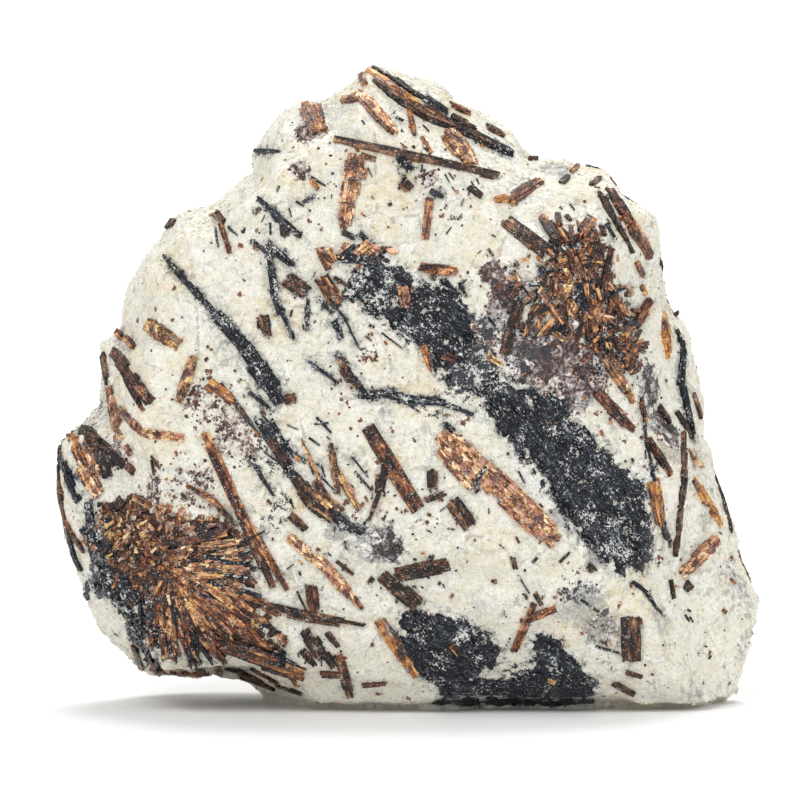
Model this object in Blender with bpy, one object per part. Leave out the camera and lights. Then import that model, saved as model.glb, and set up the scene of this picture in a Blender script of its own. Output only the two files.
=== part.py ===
"""Astrophyllite specimen: bladed crystals grown in a broken block of sugary white feldspar.

Metres, +Z up. The origin is in the middle of the flat underside, and the display face looks along -Y.
Sizes and places below are in millimetres, and each finished mesh is scaled to metres at the end.
"""

import math

import bmesh
import bpy
from mathutils import Matrix, Vector, noise
from mathutils.bvhtree import BVHTree

METRES = 0.001
VIEW_TILT = math.radians(5.0)

# Crystals and their pockets: the gap between them, how far a pocket is open above the face, the longest step
# along a blade, the bevelled edge of a lump, the share of its width that a blade keeps on top, and the tips
# that count as blunt
FIT_GAP = 0.42
POCKET_OPENING = 5.0
STATION_STEP = 4.8
INSET_SHARE = 0.14
CROWN_SHARE = 0.86
BLUNT = 0.8

# Where rays start, lines that count as parallel, and the limit on a sharp corner's growth
FAR_OFF = 120.0
PARALLEL = 1e-9
SHARPEST_LEAN = 0.5

# The block: its middle in the front view, how far it reaches to the front and back, and how round it is
MIDDLE = Vector((0.0, 38.5))
FRONT_DEPTH = 20.0
BACK_DEPTH = 19.0
ROUNDING = 3.6
LEAST_SHARE = 0.12
SPHERE_SUBDIVISIONS = 6
BLOCK_TRIANGLES = 1060
BASE_HEIGHT = 0.0

# The outline of the display face, clockwise from the peak; the last points lie below the base
OUTLINE = [
    (-5.3, 81.3), (-3.0, 80.3), (-0.6, 79.9), (4.0, 78.7), (6.4, 76.6), (9.2, 75.1), (12.2, 73.5),
    (14.4, 71.4), (15.9, 69.6), (19.9, 69.2), (25.4, 68.0), (27.8, 64.6), (30.3, 63.8), (32.0, 61.3),
    (32.6, 58.5), (32.6, 53.3), (33.1, 50.5), (36.0, 47.5), (36.5, 44.3), (37.7, 38.4), (37.3, 34.8),
    (38.4, 31.4), (38.7, 28.4), (41.1, 23.7), (43.0, 17.8), (44.5, 15.4), (45.0, 13.0), (44.1, 10.5),
    (44.2, 8.7), (43.5, 4.4), (42.5, 0.8), (41.5, -1.5), (30.0, -3.5), (10.0, -4.0), (-10.0, -4.0),
    (-17.0, -2.5), (-19.8, 0.6), (-23.9, 2.0), (-28.3, 2.2), (-33.5, 2.4), (-34.9, 3.9), (-38.7, 7.7),
    (-40.1, 12.5), (-41.5, 14.6), (-42.8, 20.1), (-44.6, 24.7), (-45.0, 28.4), (-44.7, 31.9),
    (-44.1, 34.7), (-41.8, 35.9), (-38.9, 38.2), (-39.7, 43.8), (-39.1, 46.5), (-36.9, 47.8),
    (-35.8, 52.3), (-33.4, 56.8), (-30.7, 59.7), (-30.8, 60.9), (-29.3, 62.4), (-26.9, 63.4),
    (-25.0, 62.8), (-24.6, 64.1), (-22.0, 65.8), (-19.4, 67.7), (-19.4, 69.9), (-17.0, 73.2),
    (-14.9, 75.7), (-13.1, 76.6), (-10.4, 76.7), (-6.5, 79.0),
]

# Broken facets of the block: a place (x, z), how far out the facet is there, and its lean in x and in z
FRONT_FACETS = [
    (-15.0, 35.0, 18.2, 0.06, -0.05),
    (15.0, 35.0, 18.8, -0.05, -0.04),
    (0.0, 66.0, 15.5, 0.0, -0.36),
    (-25.0, 52.0, 15.2, 0.28, -0.16),
    (-38.0, 20.0, 12.5, 1.15, -0.1),
    (30.5, 35.0, 17.2, -1.3, -0.16),
    (8.0, 73.5, 11.5, -0.6, -1.9),
    (25.0, 64.0, 11.0, -0.5, -0.9),
    (0.0, 4.0, 16.6, 0.02, 0.75),
]
BACK_FACETS = [
    (-12.0, 40.0, 17.5, 0.14, 0.05),
    (18.0, 35.0, 17.0, -0.22, -0.03),
    (5.0, 62.0, 13.0, -0.08, -0.6),
    (-34.0, 30.0, 10.5, 0.85, 0.1),
    (4.0, 8.0, 16.5, 0.03, 0.4),
    (30.0, 18.0, 13.5, -0.75, 0.25),
]

# Roughness of the broken faces: the seed of the pattern, then size of the lumps and how far they stand out
ROCK_SEED = 9
ROUGHNESS = [(17.0, 1.9), (6.5, 1.0), (2.8, 0.35)]
OUTLINE_SHARE = 0.35
CHIP_ROUGHNESS = 0.35
CHIP_LUMPS = 0.5
CHIP_SUBDIVISIONS = 2

# Away from the middle of its depth the block draws in, and its outline wanders
SIDE_STARTS = 9.0
SIDE_DRAW_IN = 0.055
SIDE_LUMPS = 15.0
SIDE_HEIGHT = 4.2
SIDE_PATTERN = Vector((31.0, 7.0, 52.0))

# Chips broken out under the edges of the base: x, y, then how wide, how far in and how high
CHIPS = [(21.5, -19.0, 6.5, 6.0, 3.0), (8.0, -20.5, 7.0, 5.0, 1.9), (-14.0, -19.0, 5.0, 4.0, 1.3),
         (38.0, 12.0, 7.0, 7.0, 2.4), (2.0, 19.0, 10.0, 5.0, 2.6)]

FINISHES = {
    "feldspar": ((0.80, 0.78, 0.70), 0.62, 0.0),
    "black_mineral": ((0.03, 0.033, 0.045), 0.55, 0.0),
    "bronze": ((0.50, 0.23, 0.09), 0.38, 0.35),
    "gold": ((0.62, 0.36, 0.11), 0.35, 0.35),
    "dark_brown": ((0.07, 0.035, 0.025), 0.45, 0.1),
    "red_brown": ((0.24, 0.075, 0.03), 0.42, 0.1),
    "amber": ((0.48, 0.19, 0.04), 0.35, 0.0),
}


class View:
    """A side that the block is looked at from: places on it are given across and up, as seen from there."""

    def __init__(self, right, up):
        self.right = Vector(right)
        self.up = Vector(up)
        self.inward = self.up.cross(self.right)

    def place(self, across, up, outward=FAR_OFF):
        return self.right * across + self.up * up - self.inward * outward


FRONT = View((1, 0, 0), (0, math.sin(VIEW_TILT), math.cos(VIEW_TILT)))
BACK = View((-1, 0, 0), (0, 0, 1))
LEFT = View((0, -1, 0), (0, 0, 1))
RIGHT = View((0, 1, 0), (0, 0, 1))


class Blade:
    """A bladed crystal, laid along points on a face: its width, the share of it left at the tips."""

    def __init__(self, width, *points, tip=0.6, proud=0.55):
        self.width = width
        self.points = [Vector(point) for point in points]
        self.tip = tip
        self.proud = proud
        self.depth = 1.0 + 0.45 * width


class Lump:
    """A crystal mass with an irregular outline, sunk into a face."""

    def __init__(self, *outline, proud=0.6, depth=2.2):
        self.outline = [Vector(point) for point in outline]
        self.proud = proud
        self.depth = depth


# Crystals on the display face, as seen from the front: finish, then the pieces grown together
FRONT_CRYSTALS = {
    "ridge_blades": ("dark_brown", [
        Blade(1.7, (-3.6, 78.2), (-1.4, 76.8), (2.8, 74.2), (6.2, 72.9), (12.6, 69.8)),
        Blade(1.7, (-2.4, 77.2), (0.0, 75.6)),
        Blade(1.6, (2.4, 75.2), (5.0, 73.4)),
    ]),
    "top_orange_block": ("amber", [Blade(2.2, (-12.6, 75.0), (-11.0, 72.2), tip=0.9)]),
    "peak_bronze_blade": ("bronze", [
        Blade(1.7, (-6.2, 77.2), (-3.9, 74.6), (-1.5, 71.9)),
        Blade(1.0, (-8.4, 76.2), (-5.0, 76.5)),
    ]),
    "bronze_plate_top": ("bronze", [Lump((4.2, 71.0), (6.6, 70.7), (8.2, 69.7), (8.3, 69.0), (6.0, 69.1))]),
    "grey_brown_long_blade": ("dark_brown", [Blade(1.0, (-9.0, 71.1), (1.3, 68.9), (11.6, 66.7), tip=0.8)]),
    "tapered_bronze_blade": ("bronze", [
        Blade(3.0, (-6.6, 68.7), (-6.9, 65.8), tip=0.9),
        Blade(2.2, (-6.9, 66.2), (-7.4, 60.8), tip=0.4),
    ]),
    "red_brown_blade_top": ("red_brown", [Blade(1.0, (2.8, 63.8), (2.2, 58.5), tip=0.9)]),
    "brown_shoulder_blade": ("red_brown", [Blade(1.5, (16.5, 65.8), (12.9, 63.6), (11.2, 63.6))]),
    "right_edge_blades": ("red_brown", [
        Blade(0.9, (23.4, 64.8), (28.3, 57.2), tip=0.5),
        Blade(1.7, (24.4, 64.2), (29.6, 56.6)),
    ]),
    "upper_right_dark_blade": ("dark_brown", [Blade(2.1, (12.5, 60.6), (17.2, 57.2), tip=0.9)]),
    "right_spray": ("red_brown", [
        Lump((18.6, 59.2), (21.2, 59.8), (23.6, 58.2), (23.8, 55.2), (22.6, 52.4), (19.6, 53.0),
             (18.4, 56.4), depth=2.8),
        Blade(1.1, (16.8, 62.0), (19.2, 58.8), tip=0.4),
        Blade(1.1, (18.9, 62.8), (19.9, 58.8), tip=0.4),
        Blade(1.2, (20.4, 62.4), (21.0, 58.8), tip=0.4),
        Blade(1.3, (23.4, 61.6), (21.6, 58.0), tip=0.4),
        Blade(1.1, (25.2, 58.8), (21.8, 57.0), tip=0.4),
        Blade(1.9, (20.6, 55.0), (19.6, 50.6), tip=0.4),
        Blade(2.1, (21.4, 54.4), (21.6, 48.2), tip=0.4),
        Blade(1.9, (22.2, 54.2), (23.8, 45.4), tip=0.4),
        Blade(1.8, (22.6, 55.0), (25.8, 47.6), tip=0.4),
        Blade(1.7, (22.8, 56.0), (26.8, 52.0), tip=0.4),
        Blade(1.3, (20.4, 53.4), (16.6, 48.6), tip=0.5),
    ]),
    "dark_blade_right": ("dark_brown", [Blade(1.6, (14.0, 50.4), (12.2, 44.1), tip=0.8)]),
    "brown_blade_mid_right": ("red_brown", [Blade(1.6, (23.9, 39.2), (28.2, 34.7), tip=0.4)]),
    "amber_edge_blade": ("amber", [Blade(0.9, (31.9, 49.0), (32.4, 43.6))]),
    "black_right_strip": ("black_mineral", [
        Blade(1.0, (34.2, 47.0), (34.9, 45.0), (34.6, 40.9), (35.4, 37.4), (36.2, 33.4)),
    ]),
    "red_blade_right": ("red_brown", [Blade(1.2, (30.3, 33.4), (33.0, 29.2), tip=0.5)]),
    "amber_brown_blade": ("amber", [Blade(1.4, (31.1, 28.0), (32.0, 21.8), tip=0.4)]),
    "grey_brown_blade": ("dark_brown", [Blade(0.9, (34.9, 34.2), (34.9, 29.4), (33.8, 18.6))]),
    "amber_corner_blade": ("amber", [Blade(1.1, (36.2, 28.3), (39.8, 22.6))]),
    "bronze_plate_right": ("bronze", [Blade(1.8, (39.2, 20.7), (34.6, 16.4), tip=0.8)]),
    "upper_black_mass": ("black_mineral", [
        Lump((-6.5, 54.9), (-2.0, 55.4), (2.8, 54.8), (7.7, 49.7), (7.9, 44.7), (6.0, 42.2), (2.2, 43.2),
             (-1.6, 45.9), (-4.7, 48.5), (-6.0, 51.4)),
        Blade(1.2, (-8.4, 56.1), (-3.0, 54.6)),
    ]),
    "centre_black_blade": ("black_mineral", [
        Lump((9.8, 39.0), (19.3, 38.4), (24.4, 32.0), (29.0, 27.0), (30.0, 18.1), (28.4, 16.2),
             (24.4, 18.1), (20.6, 23.2), (16.1, 29.5), (11.7, 34.6)),
    ]),
    "big_bronze_slab": ("bronze", [
        Blade(2.8, (4.1, 34.3), (9.8, 29.0), tip=0.9),
        Blade(3.3, (8.0, 30.6), (18.9, 20.6), tip=0.8),
        Blade(1.7, (3.9, 32.4), (8.8, 27.7), tip=0.9),
    ]),
    "striped_dark_blade": ("dark_brown", [Blade(2.1, (5.6, 25.7), (7.9, 22.5), tip=0.9)]),
    "centre_crossing_blades": ("red_brown", [
        Blade(1.5, (-5.0, 34.8), (1.2, 24.7), tip=0.8),
        Blade(1.4, (-3.0, 30.9), (-3.6, 26.0), (-4.5, 23.6), tip=0.4),
    ]),
    "centre_left_twin": ("dark_brown", [
        Blade(0.9, (-9.7, 32.8), (-8.7, 26.7)),
        Blade(0.9, (-9.3, 30.0), (-6.2, 24.6), proud=0.4),
    ]),
    "brown_block_upper_left": ("red_brown", [Blade(1.9, (-10.8, 53.6), (-8.6, 50.4), tip=0.9)]),
    "dark_blade_upper_left": ("dark_brown", [Blade(1.9, (-15.0, 53.4), (-12.8, 51.9), tip=0.8)]),
    "black_branch": ("black_mineral", [
        Blade(1.0, (-17.6, 57.8), (-14.0, 55.1), tip=0.4),
        Blade(0.9, (-17.4, 57.6), (-16.5, 50.8), (-14.4, 46.2), tip=0.5),
    ]),
    "black_blade_upper_left": ("black_mineral", [Blade(1.0, (-18.7, 63.3), (-13.7, 59.1), tip=0.4)]),
    "thin_black_arc": ("black_mineral", [
        Blade(1.1, (-8.8, 44.1), (-5.4, 38.9), (-2.8, 39.2), (0.3, 38.4), (4.1, 38.1), (8.3, 36.6)),
    ]),
    "long_black_blade": ("black_mineral", [
        Blade(0.8, (-30.4, 56.0), (-25.0, 50.1), (-22.4, 47.2)),
        Blade(1.6, (-24.0, 49.0), (-19.6, 44.1)),
        Blade(2.4, (-20.6, 45.2), (-15.9, 38.2), tip=0.5),
    ]),
    "golden_mosaic_left": ("gold", [Blade(2.0, (-32.6, 47.8), (-28.8, 45.3), tip=0.9)]),
    "golden_blade_left": ("gold", [Blade(1.4, (-26.9, 43.7), (-28.8, 38.2))]),
    "brown_blade_left": ("red_brown", [
        Blade(1.7, (-37.0, 44.2), (-32.5, 38.2)),
        Blade(0.8, (-36.0, 41.9), (-33.1, 36.8)),
    ]),
    "pink_ribbon_left": ("bronze", [Blade(1.4, (-37.6, 39.6), (-36.4, 33.5))]),
    "curved_ribbon_left": ("red_brown", [Blade(1.0, (-34.7, 35.6), (-33.4, 34.2), (-28.2, 33.7))]),
    "amber_brown_blade_left": ("amber", [
        Blade(1.8, (-25.0, 40.3), (-21.8, 38.0)),
        Blade(0.7, (-23.6, 39.8), (-19.8, 35.4)),
    ]),
    "diagonal_black_band": ("black_mineral", [
        Blade(1.9, (-17.4, 32.4), (-15.1, 29.5), (-12.8, 27.0), (-9.8, 24.4), (-7.2, 22.7), tip=0.5),
        Blade(2.4, (-17.2, 35.4), (-14.4, 30.2)),
    ]),
    "twin_dark_blades": ("dark_brown", [
        Blade(2.1, (-3.0, 16.3), (1.3, 12.6), tip=0.8),
        Blade(2.0, (-1.7, 16.4), (5.1, 17.6), tip=0.8),
    ]),
    "amber_black_blade": ("amber", [Blade(1.7, (-3.6, 10.5), (1.6, 3.4))]),
    "lower_black_lens": ("black_mineral", [
        Lump((0.2, 10.6), (3.0, 10.8), (7.9, 9.9), (11.7, 6.6), (9.2, 4.1), (5.3, 2.4), (3.0, 4.6),
             (0.9, 7.6)),
    ]),
    "bottom_black_mass": ("black_mineral", [
        Lump((16.5, 9.0), (18.7, 8.1), (20.6, 5.6), (23.2, 3.4), (22.3, 2.4), (12.8, 1.6), (16.0, 4.1),
             (15.6, 7.1)),
    ]),
    "brown_fork_bottom": ("red_brown", [
        Blade(1.0, (15.9, 12.7), (13.5, 6.8)),
        Blade(1.0, (18.8, 12.2), (15.2, 10.8)),
    ]),
    "dark_block_bottom": ("dark_brown", [Blade(2.5, (28.0, 11.0), (28.2, 5.6), tip=0.9)]),
    "left_long_twin": ("red_brown", [
        Blade(1.4, (-25.5, 34.1), (-16.9, 14.9), tip=0.5),
        Blade(1.0, (-20.4, 23.6), (-15.2, 14.6)),
    ]),
    "pink_bronze_blade": ("bronze", [Blade(1.3, (-14.9, 21.0), (-10.4, 17.5), (-5.8, 12.2), tip=0.4)]),
    "dark_bar_lower": ("dark_brown", [Blade(1.4, (-20.8, 12.9), (-5.7, 10.0), tip=0.5)]),
    "dark_cluster_lower": ("dark_brown", [
        Lump((-12.9, 9.2), (-10.4, 9.2), (-9.9, 7.0), (-10.6, 5.2), (-12.6, 5.6)),
    ]),
    "left_spray": ("red_brown", [
        Lump((-38.4, 24.0), (-34.0, 25.6), (-31.0, 23.0), (-27.0, 21.0), (-25.4, 17.0), (-27.4, 13.4),
             (-31.6, 12.6), (-36.0, 13.6), (-38.4, 18.0)),
        Blade(1.6, (-39.6, 22.8), (-38.2, 18.0), (-36.4, 12.4), tip=0.4),
        Blade(1.3, (-30.0, 20.6), (-22.4, 21.7), tip=0.5),
        Blade(1.1, (-29.0, 18.8), (-21.8, 19.6), tip=0.5),
        Blade(1.2, (-28.4, 17.4), (-20.4, 16.6), tip=0.5),
        Blade(1.4, (-27.6, 15.8), (-17.8, 8.4), tip=0.5),
        Blade(2.6, (-28.6, 14.6), (-25.6, 10.4), (-15.6, 5.2), tip=0.6),
        Blade(1.7, (-29.8, 14.6), (-24.6, 5.6), tip=0.5),
        Blade(1.6, (-31.0, 14.2), (-28.4, 5.6), tip=0.5),
        Blade(1.6, (-32.6, 14.2), (-31.6, 6.0), tip=0.5),
        Blade(1.5, (-34.2, 14.6), (-35.2, 7.6), tip=0.5),
        Blade(1.4, (-33.0, 24.0), (-30.6, 27.6), tip=0.4),
        Blade(1.3, (-29.4, 21.4), (-25.0, 25.4), tip=0.4),
    ]),
    "left_edge_blades": ("dark_brown", [
        Blade(1.6, (-41.6, 34.4), (-39.8, 29.0)),
        Blade(1.9, (-41.4, 33.6), (-35.9, 30.7)),
        Blade(1.6, (-40.4, 31.4), (-38.1, 26.6)),
    ]),
}
BACK_CRYSTALS = {
    "back_spray": ("red_brown", [
        Lump((8.4, 43.4), (10.2, 44.2), (12.2, 43.0), (12.0, 40.8), (10.2, 39.6), (8.4, 40.6)),
        Blade(1.5, (10.0, 42.0), (19.0, 50.0), tip=0.4),
        Blade(1.4, (10.0, 42.6), (13.6, 53.6), tip=0.4),
        Blade(1.6, (10.8, 41.6), (22.0, 43.2), tip=0.4),
        Blade(1.4, (10.6, 41.0), (18.8, 33.6), tip=0.4),
        Blade(1.5, (9.6, 41.4), (8.2, 31.2), tip=0.4),
        Blade(1.4, (9.8, 41.6), (0.8, 47.2), tip=0.4),
    ]),
    "back_black_blade": ("black_mineral", [
        Blade(2.3, (-26.0, 22.0), (-18.0, 31.0), (-11.0, 36.0), tip=0.3),
    ]),
    "back_bronze_slab": ("bronze", [Blade(2.8, (18.0, 12.0), (25.0, 20.0), tip=0.8)]),
    "back_brown_blade": ("red_brown", [Blade(1.7, (-14.0, 56.0), (-4.0, 61.0), tip=0.5)]),
}
SIDE_CRYSTALS = {
    "left_side_blade": (LEFT, "red_brown", [Blade(1.6, (-7.0, 18.0), (1.0, 27.0), tip=0.5)]),
    "right_side_blade": (RIGHT, "dark_brown", [Blade(1.7, (-2.0, 22.0), (5.0, 33.0), tip=0.5)]),
}


def applied(thing):
    """Replaces an object's mesh by what its modifiers make of it."""
    graph = bpy.context.evaluated_depsgraph_get()
    mesh = bpy.data.meshes.new_from_object(thing.evaluated_get(graph))
    thing.modifiers.clear()
    thing.data = mesh


def object_of(name, shape):
    mesh = bpy.data.meshes.new(name)
    bmesh.ops.recalc_face_normals(shape, faces=shape.faces)
    shape.to_mesh(mesh)
    shape.free()
    thing = bpy.data.objects.new(name, mesh)
    bpy.context.scene.collection.objects.link(thing)
    return thing


def combine(thing, other, operation):
    """Joins the other object to this one, or cuts it out, and removes it.

    After many pockets EXACT leaves faces whose triangles share an edge, so the solver is MANIFOLD.
    """
    boolean = thing.modifiers.new("combine", "BOOLEAN")
    boolean.operation = operation
    boolean.solver = "MANIFOLD"
    boolean.object = other
    applied(thing)
    bpy.data.objects.remove(other)


def cross(first, second):
    return first.x * second.y - first.y * second.x


def outline_reach(direction):
    """How far the outline lies from the block's middle in this direction."""
    reach = 0.0
    corners = [Vector(corner) for corner in OUTLINE]
    for start, end in zip(corners, corners[1:] + corners[:1]):
        side = end - start
        turn = cross(direction, side)
        if abs(turn) < PARALLEL:
            continue
        along = cross(start - MIDDLE, side) / turn
        share = cross(start - MIDDLE, direction) / turn
        if along > 0 and 0 <= share <= 1:
            reach = max(reach, along)
    return reach


def facet_reach(facets, x, z):
    return min(
        out + lean_x * (x - at_x) + lean_z * (z - at_z) for at_x, at_z, out, lean_x, lean_z in facets
    )


def block_point(direction):
    """The point of the smooth block that a point of the unit sphere turns into."""
    flat = Vector((direction.x, direction.z))
    share = min(flat.length, 1.0)
    place = MIDDLE.copy()
    if share > 0:
        place += flat.normalized() * outline_reach(flat.normalized()) * share
    facets, depth = (FRONT_FACETS, FRONT_DEPTH) if direction.y < 0 else (BACK_FACETS, BACK_DEPTH)
    rounded = depth * (1 - share**ROUNDING) ** (1 / ROUNDING)
    reach = max(min(rounded, facet_reach(facets, place.x, place.y)), rounded * LEAST_SHARE)
    return Vector((place.x, math.copysign(reach, direction.y), place.y))


def rough_point(point):
    """The point moved by the uneven break of the block, which leaves the outline of the front view."""
    shift = Vector()
    for size, height in ROUGHNESS:
        shift += noise.noise_vector(point / size) * height
    moved = point + Vector((shift.x * OUTLINE_SHARE, shift.y, shift.z * OUTLINE_SHARE))
    away = min(abs(point.y) / SIDE_STARTS, 1.0)
    away = away * away * (3 - 2 * away)
    wander = noise.noise_vector(point / SIDE_LUMPS + SIDE_PATTERN) * SIDE_HEIGHT
    moved.x += away * (wander.x - point.x * SIDE_DRAW_IN)
    moved.z += away * (wander.z - (point.z - MIDDLE.y) * SIDE_DRAW_IN)
    return moved


def flat_base(shape):
    """Cuts the block level at its base and closes the cut."""
    geometry = shape.verts[:] + shape.edges[:] + shape.faces[:]
    base = Vector((0, 0, BASE_HEIGHT))
    bmesh.ops.bisect_plane(shape, geom=geometry, plane_co=base, plane_no=(0, 0, -1), clear_outer=True)
    rim = [edge for edge in shape.edges if edge.is_boundary]
    bmesh.ops.holes_fill(shape, edges=rim, sides=0)


def chip_cutter(x, y, wide, inwards, high):
    """An uneven low dome, which breaks a shallow chip out of the edge of the base."""
    shape = bmesh.new()
    bmesh.ops.create_icosphere(shape, subdivisions=CHIP_SUBDIVISIONS, radius=1.0)
    for vertex in shape.verts:
        uneven = 1 + CHIP_ROUGHNESS * noise.noise(vertex.co / CHIP_LUMPS + Vector((x, y, 0.0)))
        vertex.co = Vector((x + vertex.co.x * wide, y + vertex.co.y * inwards, vertex.co.z * high * uneven))
    return object_of("chip", shape)


def block():
    """The matrix: an uneven block with broken facets, standing on its level base."""
    shape = bmesh.new()
    bmesh.ops.create_icosphere(shape, subdivisions=SPHERE_SUBDIVISIONS, radius=1.0)
    for vertex in shape.verts:
        vertex.co = rough_point(block_point(vertex.co.normalized()))
    thing = object_of("matrix", shape)
    coarser = thing.modifiers.new("coarser", "DECIMATE")
    coarser.ratio = BLOCK_TRIANGLES / len(thing.data.polygons)
    applied(thing)
    cut = bmesh.new()
    cut.from_mesh(thing.data)
    flat_base(cut)
    bmesh.ops.recalc_face_normals(cut, faces=cut.faces)
    cut.to_mesh(thing.data)
    cut.free()
    for chip in CHIPS:
        combine(thing, chip_cutter(*chip), "DIFFERENCE")
    return thing


class Face:
    """The block's surface, before anything is cut from it, to lay crystals on."""

    SAMPLE = 1.4

    def __init__(self, thing):
        shape = bmesh.new()
        shape.from_mesh(thing.data)
        self.tree = BVHTree.FromBMesh(shape)
        shape.free()

    def hit(self, view, across, up):
        point, normal, _, _ = self.tree.ray_cast(view.place(across, up), view.inward)
        if point is None:
            raise ValueError(f"nothing at {across}, {up}")
        return point, normal

    def touch(self, view, across, up):
        """The point of the surface seen at a place, and the direction that its surroundings face."""
        point, normal = self.hit(view, across, up)
        total = normal.copy()
        for step_across, step_up in ((1, 0), (-1, 0), (0, 1), (0, -1)):
            beside, _, _, _ = self.tree.ray_cast(
                view.place(across + step_across * self.SAMPLE, up + step_up * self.SAMPLE), view.inward
            )
            if beside is not None:
                total += self.tree.find_nearest(beside)[1]
        return point, total.normalized()


def stations(blade):
    """Places along a blade, close enough to follow the face, with the share of the full width there."""
    places = []
    for start, end in zip(blade.points, blade.points[1:]):
        steps = max(1, math.ceil((end - start).length / STATION_STEP))
        places += [start.lerp(end, step / steps) for step in range(steps)]
    places.append(blade.points[-1])
    if len(places) == 2 and blade.tip < BLUNT:
        places.insert(1, places[0].lerp(places[1], 0.5))
    widths = [1.0] * len(places)
    widths[0] = widths[-1] = blade.tip
    return list(zip(places, widths))


def blade_profile(blade, share, gap):
    """The cross-section of a blade, a bar that is narrower on top, or with a gap that of its pocket."""
    side = 0.5 * blade.width * share + gap
    low = -blade.depth - gap
    crown = side if gap else side * CROWN_SHARE
    top = blade.proud + POCKET_OPENING if gap else blade.proud
    return [(-side, low), (side, low), (crown, top), (-crown, top)]


def blade_shape(blade, face, view, gap=0.0):
    """One blade, drawn out along its places on the face. With a gap it is the pocket that it sits in."""
    laid = []
    facing = Vector()
    for place, share in stations(blade):
        point, normal = face.touch(view, place.x, place.y)
        laid.append((point, share))
        facing += normal
    shape = bmesh.new()
    end_face = None
    for index, (point, share) in enumerate(laid):
        before = laid[max(index - 1, 0)][0]
        after = laid[min(index + 1, len(laid) - 1)][0]
        along = (after - before).normalized()
        upright = (facing - along * facing.dot(along)).normalized()
        across = along.cross(upright)
        if index == 0:
            point = point - along * gap
        if index == len(laid) - 1:
            point = point + along * gap
        profile = blade_profile(blade, share, gap)
        corners = [point + across * side + upright * height for side, height in profile]
        if end_face is None:
            end_face = shape.faces.new([shape.verts.new(corner) for corner in corners])
            continue
        made = bmesh.ops.extrude_face_region(shape, geom=[end_face, *end_face.edges])
        end_face = next(item for item in made["geom"] if isinstance(item, bmesh.types.BMFace))
        for vertex, corner in zip(end_face.verts, corners):
            vertex.co = corner
    return shape


def grown(outline, gap):
    """The outline moved outwards by the gap."""
    count = len(outline)
    area = sum(cross(outline[index - 1], outline[index]) for index in range(count))
    turn = math.copysign(1.0, area)
    moved = []
    for index, corner in enumerate(outline):
        before = (corner - outline[index - 1]).normalized()
        after = (outline[(index + 1) % count] - corner).normalized()
        outward = Vector((before.y + after.y, -before.x - after.x)).normalized() * turn
        lean = max(outward.dot(Vector((before.y, -before.x)) * turn), SHARPEST_LEAN)
        moved.append(corner + outward * (gap / lean))
    return moved


def lump_shape(lump, face, view, gap=0.0):
    """A crystal mass whose top follows the face inside its outline. With a gap it is its pocket."""
    shape = bmesh.new()
    corners = [shape.verts.new(view.place(*corner)) for corner in grown(lump.outline, gap)]
    cap = shape.faces.new(corners)
    bmesh.ops.subdivide_edges(shape, edges=cap.edges[:], cuts=1)
    cap = max(shape.faces, key=lambda each: each.calc_area())
    if not gap:
        inset = INSET_SHARE * math.sqrt(cap.calc_area())
        bmesh.ops.inset_region(shape, faces=[cap], thickness=inset)
    bmesh.ops.poke(shape, faces=[cap])
    depths = []
    for vertex in shape.verts:
        across, up = vertex.co.dot(view.right), vertex.co.dot(view.up)
        point, _ = face.hit(view, across, up)
        depths.append(point.dot(view.inward))
        vertex.co = point - view.inward * lump.proud
    floor = max(depths) + lump.depth + gap
    opening = min(depths) - POCKET_OPENING
    tops = shape.verts[:]
    made = bmesh.ops.extrude_face_region(shape, geom=shape.faces[:])
    for vertex in made["geom"]:
        if isinstance(vertex, bmesh.types.BMVert):
            vertex.co += view.inward * (floor - vertex.co.dot(view.inward))
    if gap:
        for vertex in tops:
            vertex.co += view.inward * (opening - vertex.co.dot(view.inward))
    return shape


def shape_of(piece, face, view, gap=0.0):
    maker = lump_shape if isinstance(piece, Lump) else blade_shape
    return maker(piece, face, view, gap)


def crystal(name, pieces, face, view):
    """One crystal, or several grown together, as one solid."""
    thing = object_of(name, shape_of(pieces[0], face, view))
    for piece in pieces[1:]:
        combine(thing, object_of("grown_together", shape_of(piece, face, view)), "UNION")
    return thing


def cut_pockets(matrix, pieces, face, view):
    for piece in pieces:
        combine(matrix, object_of("pocket", shape_of(piece, face, view, FIT_GAP)), "DIFFERENCE")


def drop_crumbs(thing):
    """Keeps the largest connected body, without the crumbs that the pockets leave between them."""
    shape = bmesh.new()
    shape.from_mesh(thing.data)
    unseen = set(shape.verts)
    bodies = []
    while unseen:
        body = set()
        edge_of_search = [unseen.pop()]
        while edge_of_search:
            vertex = edge_of_search.pop()
            body.add(vertex)
            near = {edge.other_vert(vertex) for edge in vertex.link_edges} & unseen
            unseen -= near
            edge_of_search += near
        bodies.append(body)
    largest = max(bodies, key=len)
    crumbs = [vertex for vertex in shape.verts if vertex not in largest]
    bmesh.ops.delete(shape, geom=crumbs, context="VERTS")
    shape.to_mesh(thing.data)
    shape.free()


def finish_material(name):
    colour, roughness, metallic = FINISHES[name]
    material = bpy.data.materials.get(name) or bpy.data.materials.new(name)
    material.use_nodes = True
    shader = material.node_tree.nodes["Principled BSDF"]
    shader.inputs["Base Color"].default_value = (*colour, 1.0)
    shader.inputs["Roughness"].default_value = roughness
    shader.inputs["Metallic"].default_value = metallic
    return material


def middle_of(things):
    """The middle of the box around the things, in plan."""
    corners = [vertex.co for thing in things for vertex in thing.data.vertices]
    sides = [[corner[axis] for corner in corners] for axis in (0, 1)]
    return Vector([(min(side) + max(side)) / 2 for side in sides] + [0.0])


def finished(thing, finish, origin):
    """Gives an object its material, its place about the origin and its real size."""
    thing.data.transform(Matrix.Scale(METRES, 4) @ Matrix.Translation(-origin))
    thing.data.materials.clear()
    thing.data.materials.append(finish_material(finish))
    thing.data.update()


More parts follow.
